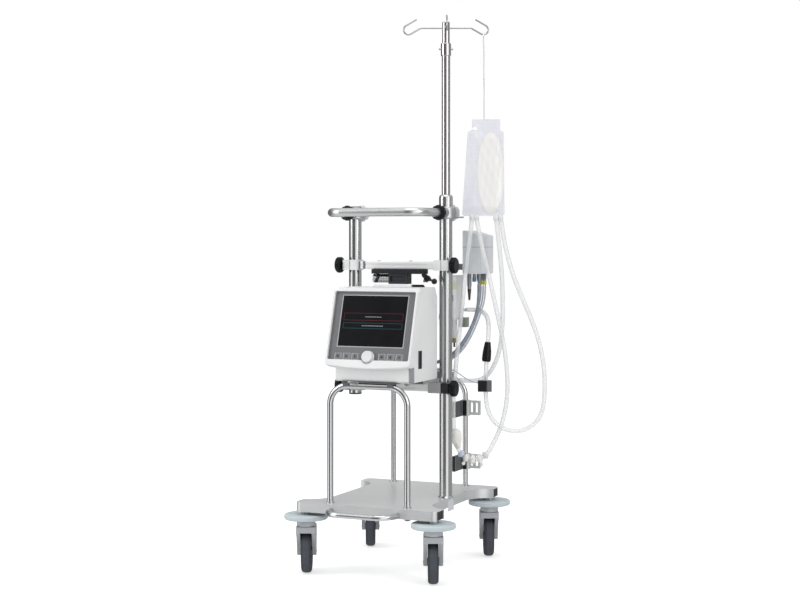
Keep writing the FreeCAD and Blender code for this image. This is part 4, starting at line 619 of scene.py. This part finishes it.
# Sensor box. A light grey painted case on an arm behind the column; its lid slopes and all of
# its leads plug in from below.
case = Finish("sensor_box", {"IOR": 1.48})
plugs = case.z < 0.8729
collar = plugs * (case.z > 0.838) * (case.x > 0.203) + (case.x < 0.203) * (case.z > 0.828) * plugs
slow = case.noise(12.0, detail=3)
fine = case.noise(640.0, detail=3)
paint = case.blend(slow, tone(208, 212, 215), tone(226, 229, 231))
dark = case.blend(slow, tone(30, 31, 34), tone(60, 62, 66))
shine = case.blend(slow, tone(120, 124, 130), tone(160, 163, 168))
seam = within(case.z, 0.9518, 0.953)
paint = case.blend(seam, paint, tone(128, 131, 136))
case.give(Base_Color=case.blend(plugs, paint, case.blend(collar, dark, shine)), Metallic=collar * 0.8,
          Roughness=0.42 + slow * 0.12)
case.relief(fine, 0.00014, 0.5)
dress("sensor_box", case)

# Lung and pump. Saddles on the column carry the membrane lung, a block of hollow fibres
# between potted caps, and the pump motor with its clear head and white impeller.
dress("module_arms", moulded("arm_coat", tone(120, 122, 125), tone(150, 152, 155), 0.4, 520.0))
lung = Finish("membrane_lung", {"IOR": 1.48, "Coat Weight": 0.5, "Coat Roughness": 0.1})
core = within(lung.z, 0.752, 0.852)
fibres = lung.noise(700.0, (1, 1, 0.02), detail=3)
slow = lung.noise(20.0, detail=3)
window = within(lung.z, 0.826, 0.846) * (lung.y < 0.08)
fibre = lung.blend(fibres, tone(226, 229, 231), tone(246, 247, 248))
fibre = lung.blend(window * 0.75, fibre, tone(216, 220, 160))
caps = lung.blend(slow, tone(234, 236, 237), tone(247, 248, 248))
caps = lung.blend((lung.z < 0.6793) * (lung.x > 0.12), caps, tone(160, 146, 96))
caps = lung.blend((lung.z < 0.6652) * (lung.x > 0.12), caps, tone(24, 24, 27))
caps = lung.blend((lung.x > 0.1512) * (lung.z < 0.7425), caps, tone(142, 150, 138))
lung.give(Base_Color=lung.blend(core, caps, fibre), Roughness=0.3 + slow * 0.14)
lung.relief(fibres * core, 0.0003, 0.5)
dress("membrane_lung", lung)
dress("pump_drive", moulded("motor_paint", tone(186, 189, 192), tone(208, 210, 212), 0.42, 640.0))
clear_head = Finish("pump_head", {"IOR": 1.49, "Coat Weight": 0.3, "Coat Roughness": 0.05})
cloud = clear_head.noise(40.0, detail=3)
edge = clear_head.node("ShaderNodeLayerWeight", {}, {"Blend": 0.4}, "Facing")
clear_head.give(Base_Color=clear_head.blend(cloud, tone(224, 229, 232), tone(240, 243, 245)),
                Alpha=clear_head.spread(edge, 0.0, 1.0, 0.32, 0.9), Roughness=0.08 + cloud * 0.1)
dress("pump_head", clear_head)
dress("pump_impeller", moulded("impeller_white", tone(220, 222, 224), tone(238, 239, 240), 0.3))

# Holders. Two moulded brackets on the rear hoop hold spare lines; one wing is ribbed, the other slotted
# and light; the ribbed wing is painted darker as shade, with painted shade in the gaps between its ribs.
holder = Finish("holder_brackets", {"IOR": 1.48})
lit_wing_share = holder.x > 0.1305
slow = holder.noise(22.0, detail=3)
fine = holder.noise(700.0, detail=3)
rib_gap_shade = holder.node("ShaderNodeMath", {"operation": "PINGPONG"}, {0: holder.y - 0.152, 1: 0.0055}) > 0.0029
# Painted shade: the ribbed wing is a darker copy of the pale plastic, and near black in its rib gaps.
shaded_wing = holder.blend(slow, tone(104, 105, 108), tone(132, 133, 136))
shaded_wing = holder.blend(rib_gap_shade, shaded_wing, tone(22, 23, 25))
lit_wing = holder.blend(slow, tone(196, 197, 198), tone(216, 217, 217))
holder.give(Base_Color=holder.blend(lit_wing_share, shaded_wing, lit_wing), Roughness=0.42 + slow * 0.14)
holder.relief(fine, 0.00014, 0.5)
dress("holder_brackets", holder)

# Flow sensor. Two halves clip round the return hose on a hinge pin; a black tapered sleeve
# sits higher on the same hose.
sensor_black = moulded("sensor_black", tone(8, 8, 9), tone(22, 22, 24), 0.4, shine=0.25)
dress("flow_sensor", sensor_black)
dress("sensor_lid", moulded("sensor_grey", tone(84, 84, 88), tone(108, 108, 112), 0.42))

# Fluid bag. Two sheets of clear film welded round the edge, with a stiffer header, a round
# hole for the hand and a cream oval liner inside; it hangs from a steel ring on the hook.
BAG_LOW, BAG_HIGH, BAG_TOP = 1044.0, 1294.0, 1328.0
HOLE = (85.0, 1301.0, 7.5, 5.0)
LINER = (132.0, 1170.0, 40.5, 124.0)
BAG_SWELL = 6.6


def oval(place, along, z):
    """0 in the middle of an oval, 1 on its edge."""
    return ((along - place[0]) / place[2]) ** 2 + ((z - place[1]) / place[3]) ** 2


def step_up(level):
    level = min(max(level, 0.0), 1.0)
    return level * level * (3 - 2 * level)


def bag_edges(z):
    """Left and right edge of the bag at a height."""
    share = (z - BAG_LOW) / (BAG_HIGH - BAG_LOW)
    neck = step_up((z - BAG_HIGH + 5) / 9)
    corner = 7 * (1 - min(1.0, (z - BAG_LOW) / 7)) ** 2
    left = (47 + 17 * share) * (1 - neck) + 76 * neck
    right = (172.5 - 3 * share) * (1 - neck) + 159 * neck
    return left + corner, right - corner


def bag_half(along, z):
    """Half the bag's thickness: flat at the welds, fullest low down, a little puckered."""
    left, right = bag_edges(z)
    inside = min(along - left, right - along, z - BAG_LOW, (BAG_HIGH - z) * 1.4)
    share = (z - BAG_LOW) / (BAG_HIGH - BAG_LOW)
    full = step_up((inside - 5) / 26) * (1 - 0.62 * max(share, 0)) * BAG_SWELL
    pucker = math.sin(along * 0.31 + z * 0.045) * math.sin(z * 0.083 - along * 0.05) * 0.45
    liner = 0.7 * step_up((1 - oval(LINER, along, z)) * 6)
    return 0.5 + full + (pucker + liner) * step_up((inside - 5) / 10)


def settle(piece, name, finish, body, node=None, angle=35):
    """Put a modelled piece's place into its mesh, and give it its finish and its body."""
    bpy.ops.object.select_all(action="DESELECT")
    piece.select_set(True)
    bpy.context.view_layer.objects.active = piece
    bpy.ops.object.transform_apply(location=True, rotation=True, scale=True)
    bpy.ops.object.mode_set(mode="EDIT")
    bpy.ops.mesh.select_all(action="SELECT")
    bpy.ops.mesh.remove_doubles(threshold=0.00001)
    bpy.ops.mesh.normals_make_consistent(inside=False)
    bpy.ops.object.mode_set(mode="OBJECT")
    bpy.ops.object.shade_smooth_by_angle(angle=math.radians(angle))
    piece.name = name
    dress(piece, finish)
    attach(piece, body)
    if node:
        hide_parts(node)
    return piece


def pick(piece, wanted):
    """Go into edit mode with only the wanted faces selected."""
    bpy.ops.object.select_all(action="DESELECT")
    piece.select_set(True)
    bpy.context.view_layer.objects.active = piece
    bpy.ops.object.mode_set(mode="EDIT")
    bpy.ops.mesh.select_mode(type="FACE")
    bpy.ops.mesh.select_all(action="DESELECT")
    bpy.ops.object.mode_set(mode="OBJECT")
    for face in piece.data.polygons:
        face.select = wanted(face)
    bpy.ops.object.mode_set(mode="EDIT")


HANG_PLANE = Matrix.Translation((COLUMN_X * MM, 0, 0)) @ Matrix.Rotation(TURN, 4, "Z")
bpy.ops.object.select_all(action="DESELECT")
bpy.ops.mesh.primitive_grid_add(x_subdivisions=54, y_subdivisions=112, size=1)
bag = bpy.context.object
for spot in bag.data.vertices:
    z = BAG_LOW + (spot.co.y + 0.5) * (BAG_TOP - BAG_LOW)
    left, right = bag_edges(z)
    along = left + (spot.co.x + 0.5) * (right - left)
    spot.co = (along, 0, z)
inside_hole = [oval(HOLE, spot.co.x, spot.co.z) < 1 for spot in bag.data.vertices]
pick(bag, lambda face: all(inside_hole[i] for i in face.vertices))
bpy.ops.mesh.delete(type="FACE")
bpy.ops.object.mode_set(mode="OBJECT")
for spot in bag.data.vertices:
    away = oval(HOLE, spot.co.x, spot.co.z)
    if 0 < away < 1:
        spot.co.x = HOLE[0] + (spot.co.x - HOLE[0]) / math.sqrt(away)
        spot.co.z = HOLE[1] + (spot.co.z - HOLE[1]) / math.sqrt(away)
bpy.ops.object.mode_set(mode="EDIT")
bpy.ops.mesh.select_all(action="SELECT")
bpy.ops.mesh.extrude_region_move(TRANSFORM_OT_translate={"value": (0, 1, 0)})
bpy.ops.object.mode_set(mode="OBJECT")
for spot in bag.data.vertices:
    half = bag_half(spot.co.x, spot.co.z)
    spot.co.y = half if spot.co.y > 0.5 else -half
bag.matrix_world = HANG_PLANE @ Matrix.Scale(MM, 4)
film = Finish("bag_film", {"IOR": 1.45, "Coat Weight": 0.4, "Coat Roughness": 0.12})
along = (film.x - COLUMN_X * MM) * (math.cos(TURN) * 1000) + film.y * (math.sin(TURN) * 1000)
height = film.z * 1000
beside = (along - LINER[0]) * (1 / LINER[2])
above = (height - LINER[1]) * (1 / LINER[3])
liner_share = beside * beside + above * above
liner = film.spread(liner_share, 0.93, 0.98, 1, 0)
liner_rim = film.spread(liner_share, 0.86, 0.95) * liner
strips = film.node("ShaderNodeMath", {"operation": "PINGPONG"}, {0: height, 1: 11.0}) < 0.5
crease = film.noise(26.0, (1, 1, 0.35), detail=4)
mist = film.noise(240.0, detail=2)
# Darker where the crease relief is low: painted shade in the creases, on the clear film and on the liner.
clear = film.blend(crease, tone(228, 229, 238), tone(245, 246, 251))
cream = film.blend(crease, tone(232, 231, 229), tone(244, 243, 241))
cream = film.blend(liner_rim, cream, tone(224, 223, 223))
film.give(Base_Color=film.blend(liner, clear, cream), Roughness=0.16 + mist * 0.16,
          Alpha=film.spread(liner + strips * 0.25, 0, 1, 0.74, 0.97))
film.relief(crease + mist * 0.1, 0.003, 0.5)
settle(bag, "fluid_bag", film, "hook_pole", "pouch", 60)


def ring_round(middle, along, radius, wire, turns=28):
    """Wire ring: a round section spun about the ring's axis."""
    bpy.ops.object.select_all(action="DESELECT")
    bpy.ops.mesh.primitive_circle_add(vertices=10, radius=wire * MM, location=(0, 0, 0))
    piece = bpy.context.object
    bpy.ops.object.mode_set(mode="EDIT")
    bpy.ops.mesh.select_all(action="SELECT")
    bpy.ops.transform.translate(value=(radius * MM, 0, 0))
    bpy.ops.mesh.spin(steps=turns, angle=2 * math.pi, center=(0, 0, 0), axis=(0, 1, 0))
    bpy.ops.object.mode_set(mode="OBJECT")
    turn = Vector(along).to_track_quat("Y", "Z").to_matrix().to_4x4()
    piece.matrix_world = Matrix.Translation([part * MM for part in middle]) @ turn
    return piece


polished = brushed("polished_steel", tone(186, 187, 188), tone(222, 223, 223), (1, 1, 1), 0.16)
hang_way = Vector((math.cos(TURN), math.sin(TURN), 0))
hanger = ring_round(hung(110, 0, 1573.9), hang_way, 6.5, 1.5)
settle(hanger, "bag_ring", polished, "hook_pole", "pouch")


def turned(foot, along, rings, sides=28, flat=1.0):
    """Round piece: a disc at its foot, extruded and scaled ring by ring (height, radius)."""
    bpy.ops.object.select_all(action="DESELECT")
    bpy.ops.mesh.primitive_circle_add(vertices=sides, radius=rings[0][1] * MM, fill_type="NGON")
    piece = bpy.context.object
    bpy.ops.object.mode_set(mode="EDIT")
    bpy.ops.mesh.select_all(action="SELECT")
    height, radius = rings[0]
    for next_height, next_radius in rings[1:]:
        rise = (0, 0, (next_height - height) * MM)
        bpy.ops.mesh.extrude_region_move(TRANSFORM_OT_translate={"value": rise})
        growth = next_radius / radius
        bpy.ops.transform.resize(value=(growth, growth, 1), center_override=(0, 0, next_height * MM))
        height, radius = next_height, next_radius
    bpy.ops.mesh.select_all(action="SELECT")
    bpy.ops.transform.resize(value=(1, flat, 1), center_override=(0, 0, 0))
    bpy.ops.object.mode_set(mode="OBJECT")
    turn = Vector(along).to_track_quat("Z", "Y").to_matrix().to_4x4()
    piece.matrix_world = Matrix.Translation([part * MM for part in foot]) @ turn
    return piece


port_white = moulded("port_white", tone(214, 216, 218), tone(234, 235, 236), 0.3, 700.0, 0.00006)
port_rings = [(0, 6.9), (0.5, 7.6), (6, 7.6), (7, 8.6), (9.5, 8.6), (10.5, 7.6), (14, 7.4), (17, 5)]
for number, along in enumerate((77, 89, 147, 160.5)):
    port = turned(hung(along, 0, 1031), (0, 0, 1), port_rings)
    settle(port, "bag_port_%d" % (number + 1), port_white, "hook_pole")

# Line fittings. On the bridge hose: a cream pinch clamp that shuts it, a bluish luer
# connector and a row of cream stopcock bodies, all moulded and slipped over the hose.


def hose_spot(name, target):
    """Point of a hose's middle line nearest to a place in mm, and the line's way there."""
    points = hose_lines[name]
    near = min(range(1, len(points) - 1), key=lambda i: (points[i] - Vector(target) * MM).length)
    return points[near] * 1000, (points[near + 1] - points[near - 1]).normalized()


cream_nylon = moulded("cream_nylon", tone(240, 238, 231), tone(250, 249, 246), 0.36, 700.0, 0.00008)
luer_blue = moulded("luer_blue", tone(198, 208, 228), tone(226, 232, 243), 0.3, 700.0, 0.00006)
spot, way = hose_spot("bridge_hose", hung(30, 26.8, 385))
shape = [(0, 6), (1.5, 10.5), (5, 14.5), (11, 17), (18, 17.6), (26, 17), (34, 15.4), (42, 13),
         (50, 10.4), (56, 8.6), (59, 6), (60, 3)]
down = way if way.z < 0 else -way
outward = Vector((math.sin(TURN), -math.cos(TURN), 0))
clamp = turned((0, 0, 0), (0, 0, 1), shape, 32, 0.52)
pick(clamp, lambda face: 0.011 < face.center.z < 0.026 and face.center.x < -0.003
     and abs(face.normal.y) > 0.6)
bpy.ops.mesh.inset(thickness=0.0012)
bpy.ops.mesh.extrude_region_shrink_fatten(TRANSFORM_OT_shrink_fatten={"value": -0.0016})
bpy.ops.object.mode_set(mode="OBJECT")
axes = Matrix((outward.cross(down), outward, down)).transposed().to_4x4()
clamp.matrix_world = Matrix.Translation((spot - down * 30 + hang_way * 2) * MM) @ axes
settle(clamp, "pinch_clamp", cream_nylon, "cart", "line_fittings", 40)

for knot, radius, finish in ((12, 10, luer_blue), (13, 11.2, cream_nylon), (14, 12.4, cream_nylon),
                             (15, 11.6, cream_nylon), (16, 9.4, port_white)):
    middle = (Vector(BRIDGE_ROUTE[knot]) + Vector(BRIDGE_ROUTE[knot + 1])) / 2
    spot, way = hose_spot("bridge_hose", middle)
    rings = [(0, 6.8), (1, radius - 1.2), (3, radius), (4.2, radius), (4.8, radius + 1.8),
             (9.2, radius + 1.8), (9.8, radius), (11.5, radius), (13, radius - 1.2), (14.5, 6.8)]
    body = turned(spot - way * 7.2, way, rings, 24)
    pick(body, lambda face: 0.005 < face.center.z < 0.009)
    bpy.ops.mesh.inset(thickness=0.0004, use_individual=True)
    bpy.ops.mesh.extrude_region_shrink_fatten(TRANSFORM_OT_shrink_fatten={"value": 0.0005})
    bpy.ops.object.mode_set(mode="OBJECT")
    settle(body, "line_fitting_%d" % (knot - 11), finish, "cart", "line_fittings")
    if knot in (13, 15):
        side = way.cross(outward).normalized()
        side = -side if side.z > 0 else side
        stub_rings = [(0, 3.8), (7, 3.8), (7.5, 5.2), (13, 5.2), (13.6, 3.4), (15, 3.2)]
        stub = turned(spot + side * (radius - 2), side, stub_rings, 20)
        settle(stub, "side_port_%d" % (knot - 11), finish, "cart", "line_fittings")

# Sensor box leads. Each plug has its own coloured ring, and the cables enter the console
# through tapered rubber boots on its back.
band_yellow = moulded("band_yellow", tone(226, 220, 80), tone(240, 236, 112), 0.4)
band_blue = moulded("band_blue", tone(78, 116, 154), tone(104, 142, 178), 0.4)
boot_black = moulded("boot_black", tone(12, 12, 14), tone(28, 28, 31), 0.5, shine=0.25)
INTO_BACK = Vector((0, -3, 0))
for i in (-1, 0, 1):
    x, y, _ = probe_way(i)[0]
    band = turned((x, y, 841), (0, 0, 1), [(0, 3.2), (0.8, 4), (10.5, 4), (11.2, 3.6)], 20)
    settle(band, "probe_band_" + "abc"[i + 1], band_yellow, "cart")
    boot = turned(Vector(probe_way(i)[-1]) + INTO_BACK, (0, 1, 0), [(0, 5), (3, 5), (4.5, 4), (16, 2.6)], 20)
    settle(boot, "probe_boot_" + "abc"[i + 1], boot_black, "cart")
ring = turned((209, 72, 850), (0, 0, 1), [(0, 5.4), (1, 6.4), (11, 6.4), (12.5, 5.6)], 24)
settle(ring, "plug_ring", band_blue, "cart")
for name, place, radius, wide in (("signal_boot", MAIN_ROUTE[-1], 5.0, 9.0),
                                  ("flow_boot", FLOW_ROUTE[-1], 1.6, 4.6)):
    boot = turned(Vector(place) + INTO_BACK, (0, 1, 0),
                  [(0, wide), (5, wide), (6.5, wide * 0.8), (13, wide * 0.7), (26, radius + 0.5)], 24)
    settle(boot, name, boot_black, "cart")

# Small hardware. Screws in the upper bar, the latch's rack and knuckle, clips under the
# console, and two bare plates: a riveted one on the base and one on the console's back.


def slab(low, high, rounding, steps=3):
    """Block between two corners in mm, its edges rounded."""
    bpy.ops.object.select_all(action="DESELECT")
    low, high = Vector(low) * MM, Vector(high) * MM
    bpy.ops.mesh.primitive_cube_add(size=1, location=(low + high) / 2, scale=high - low)
    piece = bpy.context.object
    bpy.ops.object.transform_apply(location=True, rotation=True, scale=True)
    bpy.ops.object.mode_set(mode="EDIT")
    bpy.ops.mesh.select_all(action="SELECT")
    bpy.ops.mesh.bevel(offset=rounding * MM, segments=steps, affect="EDGES")
    bpy.ops.object.mode_set(mode="OBJECT")
    return piece


def panelled(piece, way, margin, depth):
    """Sink the broad face that looks one way, inside a margin, in mm."""
    facing = [face for face in piece.data.polygons if face.normal.dot(Vector(way)) > 0.99]
    chosen = max(facing, key=lambda face: face.area).index
    pick(piece, lambda face: face.index == chosen)
    bpy.ops.mesh.inset(thickness=margin * MM)
    bpy.ops.mesh.extrude_region_shrink_fatten(TRANSFORM_OT_shrink_fatten={"value": -depth * MM})
    bpy.ops.object.mode_set(mode="OBJECT")
    return piece


bar_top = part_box("cross_bars")[1][2] * 1000
for number, x in enumerate((-54, 48.4)):
    head = [(0, 5), (1.6, 5), (2.8, 3.9), (3.3, 2.4), (1.8, 2.1)]
    screw = turned((x, -30, bar_top - 0.4), (0, 0, 1), head, 24)
    settle(screw, "bar_screw_%d" % (number + 1), polished, "cart")
RACK_LEFT, RACK_LENGTH, RACK_STEPS = 62, 41, 14
rack_pitch = RACK_LENGTH / RACK_STEPS
rack = slab((RACK_LEFT, -64, 835.6), (RACK_LEFT + RACK_LENGTH, -54, 839), 0.6, 2)
bpy.ops.object.mode_set(mode="EDIT")
for step in range(1, RACK_STEPS):
    bpy.ops.mesh.select_all(action="SELECT")
    bpy.ops.mesh.bisect(plane_co=((RACK_LEFT + rack_pitch * step) * MM, 0, 0), plane_no=(1, 0, 0))
bpy.ops.object.mode_set(mode="OBJECT")
pick(rack, lambda face: face.normal.z > 0.99 and int((face.center.x / MM - RACK_LEFT) / rack_pitch) % 2 == 0)
bpy.ops.mesh.extrude_region_move(TRANSFORM_OT_translate={"value": (0, 0, 0.004)})
bpy.ops.object.mode_set(mode="OBJECT")
settle(rack, "latch_rack", boot_black, "cart")
knuckle = turned((93, -42, 853.5), (1, 0, 0), [(0, 3), (0.8, 4.6), (5, 4.6), (5.8, 3.4), (8, 3.4), (8.8, 4.6),
                                               (13, 4.6), (14, 3.6)], 24)
settle(knuckle, "latch_knuckle", polished, "cart")
for name, low, high in (("tray_clip_left", (-60, -236, 560.5), (-28, -231.5, 569)),
                        ("tray_clip_right", (109, -232, 561.5), (126, -224, 568.4))):
    settle(panelled(slab(low, high, 0.9), (0, -1, 0), 1.6, 0.7), name, polished, "cart")
plate_white = moulded("plate_white", tone(206, 209, 213), tone(222, 224, 227), 0.4, 600.0, 0.00005)
tag = panelled(slab((161.9, -20, 177), (163.2, 24, 212), 0.4, 2), (1, 0, 0), 1.2, 0.3)
settle(tag, "base_tag", plate_white, "cart")
for number, y in enumerate((-16, 20)):
    rivet = turned((163.0, y, 208), (1, 0, 0), [(0, 1.9), (0.5, 1.8), (0.9, 1.2), (1.05, 0.5)], 16)
    settle(rivet, "tag_rivet_%d" % (number + 1), polished, "cart")
label = panelled(slab((-92, -29.2, 600), (-20, -27.8, 648), 0.5, 2), (0, 1, 0), 1.5, 0.4)
settle(label, "back_plate", plate_white, "cart")
